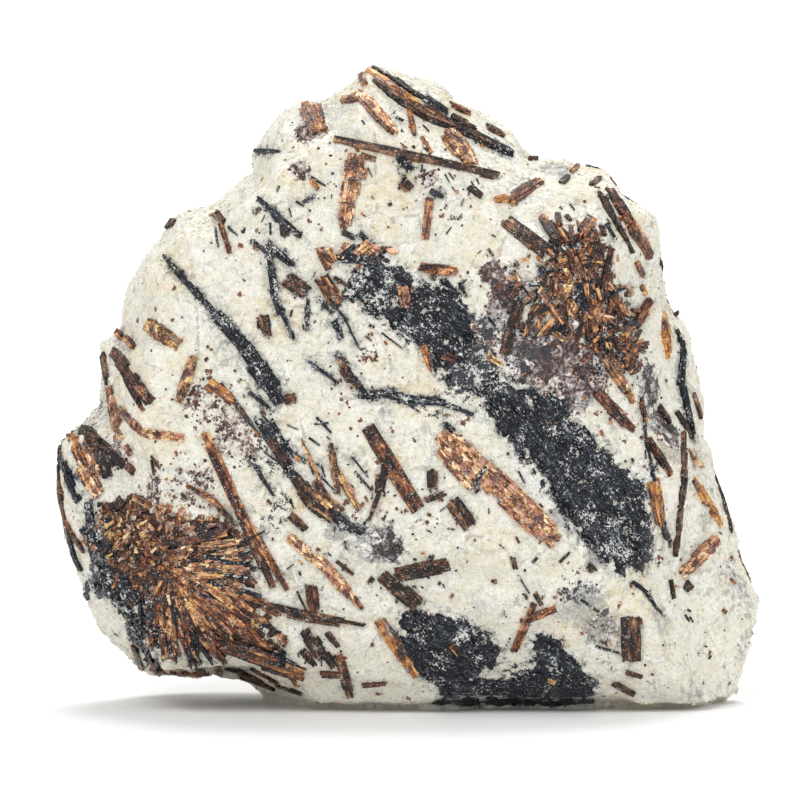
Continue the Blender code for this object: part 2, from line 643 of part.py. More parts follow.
def all_crystals():
    rows = [(name, FRONT, finish, pieces) for name, (finish, pieces) in FRONT_CRYSTALS.items()]
    rows += [(name, BACK, finish, pieces) for name, (finish, pieces) in BACK_CRYSTALS.items()]
    rows += [(name, view, finish, pieces) for name, (view, finish, pieces) in SIDE_CRYSTALS.items()]
    return rows


def main():
    for thing in list(bpy.data.objects):
        bpy.data.objects.remove(thing)
    noise.seed_set(ROCK_SEED)
    matrix = block()
    face = Face(matrix)
    made = [(matrix, "feldspar")]
    for name, view, finish, pieces in all_crystals():
        made.append((crystal(name, pieces, face, view), finish))
        cut_pockets(matrix, pieces, face, view)
    drop_crumbs(matrix)
    origin = middle_of([thing for thing, finish in made])
    for thing, finish in made:
        finished(thing, finish, origin)


main()
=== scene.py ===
# %% [markdown]
# # A hand specimen of bladed crystals in white feldspar
# This notebook dresses a broken piece of rock: sugary white feldspar, full of flat crystals in bronze,
# brown and black, some of them grown in sprays. The solid model gives the block and every large crystal
# at its real size. What is made here is what the eye meets first: grain, cleavage, cracks, dust and
# colour. The first cell loads the solids as a fixed frame. Nothing in the frame is moved. New pieces are
# laid on it.

# %% Load the frame
import math
import random

import bmesh
import bpy
import numpy as np
from mathutils import Matrix, Vector, noise
from mathutils.bvhtree import BVHTree
from mathutils.kdtree import KDTree


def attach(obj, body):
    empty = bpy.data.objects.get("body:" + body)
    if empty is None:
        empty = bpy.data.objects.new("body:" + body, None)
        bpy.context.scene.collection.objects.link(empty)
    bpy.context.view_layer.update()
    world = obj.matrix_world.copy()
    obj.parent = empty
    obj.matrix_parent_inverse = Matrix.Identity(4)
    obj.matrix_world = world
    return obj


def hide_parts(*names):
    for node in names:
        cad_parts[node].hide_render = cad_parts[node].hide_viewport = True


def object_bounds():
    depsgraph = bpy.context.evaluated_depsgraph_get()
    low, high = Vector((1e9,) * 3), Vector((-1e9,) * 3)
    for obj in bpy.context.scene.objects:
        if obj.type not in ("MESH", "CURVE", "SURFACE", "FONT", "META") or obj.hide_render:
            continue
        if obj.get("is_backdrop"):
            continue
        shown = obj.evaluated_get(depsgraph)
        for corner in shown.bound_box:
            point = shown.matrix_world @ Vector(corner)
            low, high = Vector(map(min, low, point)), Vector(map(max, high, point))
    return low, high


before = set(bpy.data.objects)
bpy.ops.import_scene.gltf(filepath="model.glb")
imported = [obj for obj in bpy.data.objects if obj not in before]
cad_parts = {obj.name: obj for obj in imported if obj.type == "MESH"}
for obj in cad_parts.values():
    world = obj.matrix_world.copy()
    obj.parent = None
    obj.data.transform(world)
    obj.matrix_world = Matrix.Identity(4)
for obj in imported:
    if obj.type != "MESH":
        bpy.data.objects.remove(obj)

MM = 0.001
NOISE_SEED = 4
noise.seed_set(NOISE_SEED)


def plain_box():
    return [[float(number) for number in corner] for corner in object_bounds()]


def keep_in_box(vertex):
    """Moves a corner that lies outside the box of the solids back onto it."""
    for axis in range(3):
        vertex.co[axis] = min(max(vertex.co[axis], box_low[axis]), box_high[axis])


cad_box = plain_box()
box_low, box_high = [Vector(corner) for corner in cad_box]
print("the block measures", [round((high - low) / MM, 1) for low, high in zip(*cad_box)], "mm")

# %% [markdown]
# ## Places on the rock
# A rock has no straight edges to measure from. So each crystal is placed as it is seen: so many
# millimetres across and so many up on one side of the block, and a ray from there finds the surface. The
# display side is seen from a little above, like a specimen on a shelf at eye level. The other sides are
# seen straight on.

# %% Sides of the rock
VIEW_TILT = math.radians(5.0)
FRAME_SHIFT = Vector((0.13, -0.31, 0.0)) * MM
FAR_OFF = 120.0 * MM


class View:
    """A side that the rock is looked at from. Places on it are given in millimetres across and up."""

    def __init__(self, right, up):
        self.right = Vector(right)
        self.up = Vector(up)
        self.inward = self.up.cross(self.right)

    def start(self, across, up):
        return self.right * across * MM + self.up * up * MM - self.inward * FAR_OFF - FRAME_SHIFT


FRONT = View((1, 0, 0), (0, math.sin(VIEW_TILT), math.cos(VIEW_TILT)))
BACK = View((-1, 0, 0), (0, 0, 1))
LEFT = View((0, -1, 0), (0, 0, 1))
RIGHT = View((0, 1, 0), (0, 0, 1))
TOP = View((1, 0, 0), (0, 1, 0))
BACK_NODES = ["back_spray", "back_black_blade", "back_bronze_slab", "back_brown_blade"]
INWARD = {name: BACK.inward for name in BACK_NODES}
INWARD["left_side_blade"] = LEFT.inward
INWARD["right_side_blade"] = RIGHT.inward
print(len(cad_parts), "solids in the frame")

# %% [markdown]
# ## One closed rock
# The solid block has a pocket for every crystal. In nature there are no pockets: feldspar grew against
# the crystals. Here each crystal's copy is sunk a little and swollen to fill its pocket, and a voxel
# remesh turns block and fillings into one even skin. A remesh is the quickest way to an even mesh that
# can carry grain. Only copies are changed. The loose triangles of a solid are joined at their corners
# first. Each smoothing inwards is followed by one outwards, because plain smoothing would wear the
# corners down. Last, the rim under the display side is lifted by one to three millimetres, because that
# edge of the block has chipped away.

# %% Fill the pockets and remesh the block
MERGE = 0.001 * MM
SINK = 0.75 * MM
SWELL = 0.32 * MM
VOXEL = 0.55 * MM
SKIN_SMOOTHING = 4
SMOOTH_IN = 0.5
SMOOTH_OUT = -0.52
RIM_ACROSS = [-32.0, -27.0, -24.0, -20.0, -16.0, -12.0, -1.0, 4.0, 20.0, 27.0, 29.5, 40.0]
RIM_LIFTS = [0.9, 1.3, 2.6, 2.6, 1.8, 1.5, 1.5, 2.4, 2.3, 2.6, 1.3, 1.2]
RIM_HEIGHT = 7.0 * MM
RIM_DEPTH = 6.0 * MM
RIM_EASE = 0.7


def object_of(name, shape):
    """A new object at the origin with this shape as its mesh."""
    mesh = bpy.data.meshes.new(name)
    shape.to_mesh(mesh)
    shape.free()
    thing = bpy.data.objects.new(name, mesh)
    bpy.context.scene.collection.objects.link(thing)
    return thing


def applied(thing):
    """Replaces an object's mesh by what its modifiers make of it."""
    graph = bpy.context.evaluated_depsgraph_get()
    mesh = bpy.data.meshes.new_from_object(thing.evaluated_get(graph))
    thing.modifiers.clear()
    thing.data = mesh
    return thing


def largest_body(shape):
    """Deletes all but the largest connected body, such as bubbles that the remesh left inside."""
    unseen = set(shape.verts)
    largest = set()
    while unseen:
        body = set()
        search = [unseen.pop()]
        while search:
            vertex = search.pop()
            body.add(vertex)
            near = {edge.other_vert(vertex) for edge in vertex.link_edges} & unseen
            unseen -= near
            search += near
        if len(body) > len(largest):
            largest = body
    bubbles = [vertex for vertex in shape.verts if vertex not in largest]
    bmesh.ops.delete(shape, geom=bubbles, context="VERTS")


def filled_block():
    filled = bmesh.new()
    for name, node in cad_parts.items():
        copy = bmesh.new()
        copy.from_mesh(node.data)
        bmesh.ops.remove_doubles(copy, verts=copy.verts, dist=MERGE)
        if name != "matrix":
            copy.normal_update()
            inward = INWARD.get(name, FRONT.inward)
            for vertex in copy.verts:
                vertex.co += vertex.normal * SWELL + inward * SINK
        part = bpy.data.meshes.new("part")
        copy.to_mesh(part)
        copy.free()
        filled.from_mesh(part)
        bpy.data.meshes.remove(part)
    thing = object_of("feldspar_block", filled)
    remesh = thing.modifiers.new("skin", "REMESH")
    remesh.mode = "VOXEL"
    remesh.voxel_size = VOXEL
    return applied(thing)


def chip_rim(shape):
    """Lifts the front rim of the underside clear of the floor, most of all at its edge."""
    solid = BVHTree.FromBMesh(shape)
    lowest = min(vertex.co.z for vertex in shape.verts)
    for vertex in shape.verts:
        height = vertex.co.z - lowest
        if height > RIM_HEIGHT:
            continue
        start = Vector((vertex.co.x, -FAR_OFF, max(vertex.co.z, lowest + MM)))
        edge, _, _, _ = solid.ray_cast(start, Vector((0, 1, 0)))
        if edge is not None:
            behind = min(max((vertex.co.y - edge.y) / RIM_DEPTH, 0.0), 1.0)
            lift = float(np.interp(vertex.co.x / MM, RIM_ACROSS, RIM_LIFTS)) * MM
            vertex.co.z += lift * (1 - height / RIM_HEIGHT) * (1 - behind) ** RIM_EASE


rock = filled_block()
skin = bmesh.new()
skin.from_mesh(rock.data)
largest_body(skin)
for turn in range(SKIN_SMOOTHING):
    for factor in (SMOOTH_IN, SMOOTH_OUT):
        bmesh.ops.smooth_vert(skin, verts=skin.verts, factor=factor, use_axis_x=True, use_axis_y=True,
                              use_axis_z=True)
chip_rim(skin)
ground = BVHTree.FromBMesh(skin)
print("the skin has", len(skin.verts), "vertices")

# %% [markdown]
# ## Many small shapes in one mesh
# The crystals, grains and sheets are made of thousands of small shapes. Each comes from a bmesh operator,
# and a pile gathers them into one mesh. The layer "crystal" keeps three numbers for each corner: how far
# along and across its crystal it lies, and the tone of its block. The material can then draw streaks
# along the crystal.

# %% The pile
LAYER = "crystal"
PILE_LIMIT = 1600
CRUMB_PATTERN = 0.4
CRUMB_SIZES = (0.7, 1.15)


class Pile:
    """Gathers many small shapes. Its heap stays short, because operators are slow on a long one."""

    def __init__(self):
        self.meshes = []
        self.heap = self.fresh()

    @staticmethod
    def fresh():
        shape = bmesh.new()
        shape.verts.layers.float_vector.new(LAYER)
        return shape

    def flush(self):
        mesh = bpy.data.meshes.new("heap")
        self.heap.to_mesh(mesh)
        self.heap.free()
        self.meshes.append(mesh)
        self.heap = self.fresh()

    def add(self, operator, **settings):
        """Lets an operator add a shape, and gives its corners and their layer."""
        if len(self.heap.verts) > PILE_LIMIT:
            self.flush()
        made = operator(self.heap, **settings)["verts"]
        return made, self.heap.verts.layers.float_vector[LAYER]

    def block(self, matrix, place, tone, reach, taper=1.0, ragged=0.0, chance=random):
        """One block of a lath. Its corners are at plus and minus a half of each side of the matrix."""
        made, layer = self.add(bmesh.ops.create_cube, size=1.0)
        along, across = place
        long_side, wide_side = reach
        for vertex in made:
            corner = vertex.co.copy()
            vertex[layer] = (along + corner.x * long_side, across + corner.y * wide_side, tone)
            narrow = taper if corner.x > 0 else 1.0
            corner.y *= narrow
            corner.x += chance.uniform(-ragged, ragged)
            corner.y += chance.uniform(-ragged, ragged) * 0.5
            vertex.co = matrix @ corner

    def crumb(self, centre, size, tone, chance):
        """A small rounded grain."""
        made, layer = self.add(bmesh.ops.create_icosphere, subdivisions=1, radius=1.0)
        for vertex in made:
            along = centre.x / MM + vertex.co.x * CRUMB_PATTERN
            across = centre.z / MM + vertex.co.z * CRUMB_PATTERN
            vertex[layer] = (along, across, tone)
            vertex.co = centre + vertex.co * size * chance.uniform(*CRUMB_SIZES)

    def finish(self, name):
        self.flush()
        shape = self.fresh()
        for mesh in self.meshes:
            shape.from_mesh(mesh)
            bpy.data.meshes.remove(mesh)
        for vertex in shape.verts:
            keep_in_box(vertex)
        return object_of(name, shape)


print("a pile starts a new heap at", PILE_LIMIT, "corners")

# %% [markdown]
# ## Crystals as lines on the rock
# A crystal is given by a few places and laid on the skin between them. Rays find the skin every fraction
# of a millimetre. The line is then evened out, because a crystal is straighter than the rock that it grew
# in.

# %% Blades and paths
SURFACE_SAMPLE = 1.2
SAME_FACE = 0.3
PATH_STEP = 0.7
PATH_SMOOTHING = 3
HEADING_REACH = 0.6 * MM


def touch(view, across, up):
    """The point of the rock seen at a place, and which way its surroundings face."""
    point, normal, _, _ = ground.ray_cast(view.start(across, up), view.inward)
    if point is None:
        return None, None
    total = normal.copy()
    for step_across, step_up in ((1, 0), (-1, 0), (0, 1), (0, -1)):
        beside = view.start(across + step_across * SURFACE_SAMPLE, up + step_up * SURFACE_SAMPLE)
        _, facing, _, _ = ground.ray_cast(beside, view.inward)
        if facing is not None and facing.dot(normal) > SAME_FACE:
            total += facing
    return point, total.normalized()


class Blade:
    """A crystal laid along places on a face. Its width, how proud it stands, the length of its blocks and
    how ragged its ends are count in mm. Tip is the share of the width left at the ends, and shade its tone
    there. A chance crystal is left out where the face turns away more than least_facing allows."""

    def __init__(self, width, *places, tip=0.6, proud=0.32, block=1.5, ragged=0.35, shade=0.5,
                 least_facing=0.0):
        self.width = width
        self.places = [Vector(place) for place in places]
        self.tip = tip if isinstance(tip, tuple) else (tip, tip)
        self.proud = proud
        self.block = block
        self.ragged = ragged
        self.shade = shade if isinstance(shade, tuple) else (shade, shade)
        self.least_facing = least_facing


class Path:
    """A blade's line on the rock: points close together, how far along each lies, and one common facing."""

    def __init__(self, view, places):
        self.points = []
        facing = Vector()
        for start, end in zip(places, places[1:]):
            steps = max(1, math.ceil((end - start).length / PATH_STEP))
            for step in range(steps + (end is places[-1])):
                place = start.lerp(end, step / steps)
                point, normal = touch(view, place.x, place.y)
                if point is not None:
                    self.points.append(point)
                    facing += normal
        self.facing = facing.normalized() if facing.length else -view.inward
        self.smooth()
        self.reach = [0.0]
        for before, after in zip(self.points, self.points[1:]):
            self.reach.append(self.reach[-1] + (after - before).length)
        self.length = self.reach[-1] if len(self.points) > 1 else 0.0

    def smooth(self):
        """Crystals don't follow small bumps, so the line is evened out along the way that it faces."""
        for turn in range(PATH_SMOOTHING):
            levels = [point.dot(self.facing) for point in self.points]
            for index in range(1, len(self.points) - 1):
                middle = (levels[index - 1] + 2 * levels[index] + levels[index + 1]) / 4
                self.points[index] = self.points[index] + self.facing * (middle - levels[index])

    def at(self, along):
        index = 1
        while index < len(self.reach) - 1 and self.reach[index] < along:
            index += 1
        before, after = self.points[index - 1], self.points[index]
        step = max(self.reach[index] - self.reach[index - 1], 1e-9)
        return before.lerp(after, (along - self.reach[index - 1]) / step)

    def heading(self, along):
        ahead = self.at(min(along + HEADING_REACH, self.length))
        behind = self.at(max(along - HEADING_REACH, 0.0))
        return (ahead - behind).normalized()


middle_point, _ = touch(FRONT, 0.0, 40.0)
print("the middle of the display side lies at", [round(number / MM, 1) for number in middle_point], "mm")

# %% [markdown]
# ## Laths
# Astrophyllite splits like mica, so one crystal is a bundle of thin flat laths. Some stand a little
# higher, the ends are ragged, and cracks run across. A single bevelled bar would show none of this. So
# each crystal is laid as rows of small blocks along its path, each with its own height, length and tone.
# Every block is one bmesh cube, sized and turned by its matrix.

# %% Laths and crystals
SHORTEST_CRYSTAL = 0.3 * MM
LONGEST_DETOUR = 1.5
TURNED_AWAY = 0.12
TIP_SHARE = 0.3
LATH_WIDTH = 0.42
LATH_DEPTH = 1.1 * MM
LATH_UNEVEN = 0.045
BLOCK_UNEVEN = 0.025
BLOCK_LENGTHS = (0.5, 1.5)
SHORTEST_BLOCK = 0.35 * MM
BLOCK_RAGGED = 0.03
BLOCK_LEAN = 0.035
LEAST_TAPER = 0.5
OVERLAP_ALONG = 1.01
OVERLAP_ACROSS = 1.06
TONE_SPREAD = 0.2
PATTERN_RANGE = 50.0
RIM_LATHS = 0.75
RIM_GAPS = 0.05
RIM_DROP = 0.06
RIM_SHADE = 0.14


def width_share(blade, share):
    """How wide a blade is at a share of its length, against its full width."""
    start_tip, end_tip = blade.tip
    start = start_tip + (1 - start_tip) * min(share / TIP_SHARE, 1.0)
    end = end_tip + (1 - end_tip) * min((1 - share) / TIP_SHARE, 1.0)
    return min(start, end)


def lay_block(pile, path, blade, lath, middle, length, level, tone, pattern, chance):
    """Lays one block of a lath, with its middle so far along the path."""
    side, laths = lath
    share = middle / path.length
    width = blade.width * width_share(blade, share) * MM
    along = path.heading(middle)
    upright = (path.facing - along * path.facing.dot(along)).normalized()
    across = along.cross(upright)
    height = (level + chance.uniform(-BLOCK_UNEVEN, BLOCK_UNEVEN)) * MM
    centre = path.at(middle) + across * side * width + upright * (height - LATH_DEPTH / 2)
    turn = Matrix((along, across, upright)).transposed().to_4x4()
    lean = Matrix.Rotation(chance.gauss(0.0, BLOCK_LEAN), 4, "X")
    wide = width / laths * OVERLAP_ACROSS
    size = Matrix.Diagonal((length * OVERLAP_ALONG, wide, LATH_DEPTH, 1.0))
    shade = blade.shade[0] + (blade.shade[1] - blade.shade[0]) * share
    tone = shade + tone + chance.uniform(-TONE_SPREAD, TONE_SPREAD)
    place = (pattern + middle / MM, side * blade.width)
    ahead = min(share + length / path.length / 2, 1.0)
    taper = min(max(width_share(blade, ahead) / width_share(blade, share), LEAST_TAPER), 1.0)
    pile.block(Matrix.Translation(centre) @ turn @ lean @ size, place, tone, (length / MM, wide / MM),
               taper=taper, ragged=BLOCK_RAGGED, chance=chance)


def lay_lath(pile, path, blade, lath, pattern, chance):
    """Lays a row of blocks: one lath. Those at the rim lie lower, are darker and have gaps."""
    side, laths = lath
    rim = abs(side) > 0.5 - RIM_LATHS / laths and laths > 2
    ragged = blade.ragged * MM
    position = chance.uniform(0.0, ragged)
    end = path.length - chance.uniform(0.0, ragged)
    level = blade.proud + chance.uniform(-LATH_UNEVEN, LATH_UNEVEN) - (RIM_DROP if rim else 0.0)
    tone = chance.uniform(-TONE_SPREAD, TONE_SPREAD) - (RIM_SHADE if rim else 0.0)
    while position < end:
        length = chance.uniform(*BLOCK_LENGTHS) * blade.block * MM
        if end - position - length < SHORTEST_BLOCK:
            length = end - position
        gap = rim and chance.random() < RIM_GAPS
        if not gap:
            lay_block(pile, path, blade, lath, position + length / 2, length, level, tone, pattern, chance)
        position += length


def lay(pile, view, blade, chance):
    """Lays one crystal on the rock. Chance ones of the other sides keep out of the front."""
    path = Path(view, blade.places)
    if blade.least_facing and view is not FRONT and path.facing.dot(FRONT.inward) < TURNED_AWAY:
        return
    straight = sum((after - before).length for before, after in zip(blade.places, blade.places[1:])) * MM
    turned = -path.facing.dot(view.inward) < blade.least_facing
    hangs = turned or path.length > LONGEST_DETOUR * straight
    if path.length < SHORTEST_CRYSTAL or (hangs and blade.least_facing):
        return
    laths = max(1, round(blade.width / LATH_WIDTH))
    pattern = chance.uniform(0.0, PATTERN_RANGE)
    for number in range(laths):
        lay_lath(pile, path, blade, ((number + 0.5) / laths - 0.5, laths), pattern, chance)


def crystals(name, view, blades, seed):
    """One piece made of these blades."""
    pile = Pile()
    chance = random.Random(seed)
    for blade in blades:
        lay(pile, view, blade, chance)
    return pile.finish(name)


print("a crystal of 2 mm has", round(2.0 / LATH_WIDTH), "laths")

# %% [markdown]
# ## Crystals on the display side
# These stand where the solid crystals stand, each with the ends, cracks and shades of its own. Width and
# places are in millimetres. The shade runs from 0, dark, to 1, pale, and may change along a crystal, as
# from a golden end to a dark one.

# %% Large crystals of the top and the upper right
BRONZE, GOLD, AMBER = "bronze", "gold", "amber"
RED, DARK, BLACK = "red_brown", "dark_brown", "black_mineral"

LARGE = {
    "ridge_blades": (DARK, [
        Blade(1.7, (-4.2, 78.9), (-1.4, 76.8), (2.8, 74.2), (6.2, 72.9), (12.6, 69.8), shade=(0.45, 0.35)),
        Blade(0.7, (-5.5, 81.0), (-2.4, 79.1), (0.8, 77.1), (4.2, 75.2), tip=0.4, shade=0.0),
        Blade(1.5, (2.0, 75.4), (5.6, 73.1), tip=0.4, shade=(0.6, 0.7)),
        Blade(1.1, (5.4, 74.2), (8.8, 72.6), tip=0.3),
    ]),
    "top_orange_block": (AMBER, [Blade(2.2, (-12.8, 75.4), (-11.0, 72.0), tip=0.9, shade=(0.6, 0.3))]),
    "peak_bronze_blade": (BRONZE, [
        Blade(1.8, (-6.4, 77.4), (-3.9, 74.6), (-1.5, 71.9), tip=(0.6, 0.4), shade=(0.5, 0.6)),
        Blade(1.0, (-8.4, 76.2), (-5.0, 76.5), shade=(0.7, 0.5)),
    ]),
    "bronze_plate_top": (BRONZE, [
        Blade(2.5, (5.0, 72.6), (6.9, 70.2), (8.0, 68.0), tip=(0.6, 0.8), block=0.9, shade=(0.45, 0.65)),
        Blade(1.2, (4.5, 71.6), (6.6, 68.9), tip=0.4, block=0.8, shade=(0.35, 0.5)),
    ]),
    "grey_brown_long_blade": (DARK, [
        Blade(1.0, (-9.2, 71.2), (1.3, 68.9), (11.6, 66.6), tip=0.8, block=3.4, shade=(0.62, 0.5)),
    ]),
    "tapered_bronze_blade": (BRONZE, [
        Blade(2.9, (-6.3, 69.3), (-6.7, 66.0), tip=(0.6, 0.95), block=1.1, shade=(0.35, 0.5)),
        Blade(2.4, (-7.0, 66.0), (-7.4, 63.0), tip=(0.9, 0.8), block=1.3, shade=(0.75, 0.6)),
        Blade(1.8, (-7.5, 63.2), (-8.0, 59.8), tip=(0.9, 0.2), block=1.2, shade=(0.4, 0.3)),
    ]),
    "red_brown_blade_top": (RED, [
        Blade(1.0, (2.8, 63.9), (2.2, 58.4), tip=0.85, ragged=0.3, shade=(0.45, 0.85)),
    ]),
    "brown_shoulder_blade": (RED, [
        Blade(1.6, (16.8, 66.1), (12.9, 63.6), (10.9, 63.6), tip=(0.7, 0.3), shade=(0.4, 0.8)),
    ]),
    "right_edge_blades": (RED, [
        Blade(0.8, (23.9, 65.2), (28.4, 56.8), tip=0.4, shade=(-0.2, -0.1)),
        Blade(1.7, (25.5, 65.0), (28.2, 60.6), tip=(0.6, 0.9), shade=(0.2, 0.35)),
        Blade(1.7, (28.0, 60.8), (30.8, 56.4), tip=(0.9, 0.7), shade=(0.5, 1.0)),
    ]),
    "upper_right_dark_blade": (DARK, [
        Blade(2.1, (12.1, 61.0), (17.6, 56.9), tip=0.85, ragged=0.7, block=2.2, shade=(0.5, 0.45)),
    ]),
    "dark_blade_right": (DARK, [
        Blade(1.6, (14.1, 50.8), (12.1, 43.9), tip=0.8, block=2.4, shade=(0.4, 0.5)),
    ]),
    "brown_blade_mid_right": (RED, [
        Blade(1.6, (23.7, 39.5), (26.4, 36.6), (28.6, 34.3), tip=(0.6, 0.2), block=2.4, shade=(0.3, 0.55)),
    ]),
    "amber_edge_blade": (AMBER, [Blade(1.3, (32.6, 49.2), (33.0, 43.4), shade=(0.6, 0.75))]),
    "black_right_strip": (BLACK, [
        Blade(0.85, (34.0, 47.4), (34.9, 45.0), (34.6, 40.9), (35.4, 37.4), (36.4, 32.8), tip=0.3,
              block=2.2),
    ]),
}
print(len(LARGE), "large crystals placed")

# %% [markdown]
# To the right and in the middle the blades cross each other, and the black ones are thin and curved.

# %% Large crystals of the right side and the centre
LARGE |= {
    "red_blade_right": (RED, [
        Blade(1.2, (30.1, 33.7), (33.2, 28.9), tip=0.5, block=2.4, shade=(0.3, 0.6)),
    ]),
    "amber_brown_blade": (AMBER, [
        Blade(1.8, (30.9, 28.4), (31.9, 22.4), tip=(0.7, 0.2), block=2.2, shade=(0.5, 0.35)),
    ]),
    "grey_brown_blade": (DARK, [
        Blade(0.9, (34.9, 34.4), (34.9, 29.4), (33.8, 18.4), tip=0.5, block=3.0, shade=(0.5, 0.6)),
    ]),
    "amber_corner_blade": (AMBER, [Blade(1.3, (36.1, 28.5), (39.9, 22.4), tip=0.4, shade=(0.6, 0.8))]),
    "bronze_plate_right": (BRONZE, [
        Blade(1.9, (39.4, 20.9), (34.5, 16.2), tip=(0.7, 0.6), block=1.2, shade=(0.55, 0.6)),
    ]),
    "big_bronze_slab": (BRONZE, [
        Blade(2.9, (4.0, 34.4), (9.8, 29.0), tip=(0.75, 0.95), block=1.2, shade=(0.6, 0.62)),
        Blade(3.4, (9.2, 29.6), (18.9, 20.5), tip=(0.95, 0.65), block=1.3, shade=(0.6, 0.66)),
        Blade(1.5, (3.8, 32.2), (8.3, 27.3), tip=(0.5, 0.9), block=1.0, shade=(0.5, 0.45)),
    ]),
    "striped_dark_blade": (DARK, [
        Blade(2.1, (5.4, 25.9), (8.0, 22.3), tip=0.85, block=0.7, shade=(0.4, 0.5)),
    ]),
    "centre_crossing_blades": (RED, [
        Blade(2.0, (-5.1, 35.1), (1.4, 24.4), tip=0.85, ragged=0.3, block=2.0, shade=(0.45, 0.55)),
        Blade(1.4, (-2.9, 31.2), (-3.6, 26.6), tip=0.7, block=2.2, shade=(-0.1, 0.0)),
        Blade(0.6, (-3.5, 26.8), (-4.9, 23.0), tip=0.3, shade=(0.1, 0.2)),
    ]),
    "centre_left_twin": (DARK, [
        Blade(0.9, (-9.7, 33.0), (-8.7, 26.5), shade=(0.6, 0.85)),
        Blade(0.9, (-9.3, 30.2), (-6.0, 24.3), tip=0.5, shade=(0.85, 0.6)),
    ]),
    "brown_block_upper_left": (RED, [
        Blade(2.0, (-11.0, 53.9), (-8.5, 50.2), tip=0.85, shade=(0.35, 0.55)),
    ]),
    "dark_blade_upper_left": (DARK, [Blade(2.0, (-15.4, 53.7), (-12.5, 51.7), tip=0.8, shade=(0.5, 0.6))]),
    "black_branch": (BLACK, [
        Blade(1.0, (-17.8, 58.0), (-14.0, 55.0), tip=0.3, block=2.4),
        Blade(0.9, (-17.6, 57.8), (-16.5, 50.8), (-14.2, 45.9), tip=(0.7, 0.2), block=2.6),
    ]),
    "black_blade_upper_left": (BLACK, [Blade(1.1, (-18.9, 63.6), (-13.5, 58.9), tip=0.3, block=2.6)]),
    "thin_black_arc": (BLACK, [
        Blade(1.1, (-9.0, 44.4), (-5.4, 38.9), (-2.8, 39.2), (0.3, 38.4), (4.1, 38.1), (8.6, 36.4),
              tip=0.3),
    ]),
}
print(len(LARGE), "large crystals placed")

# %% [markdown]
# On the left and below lie the longest ones, most of them leaning the same way, from upper left to lower
# right.

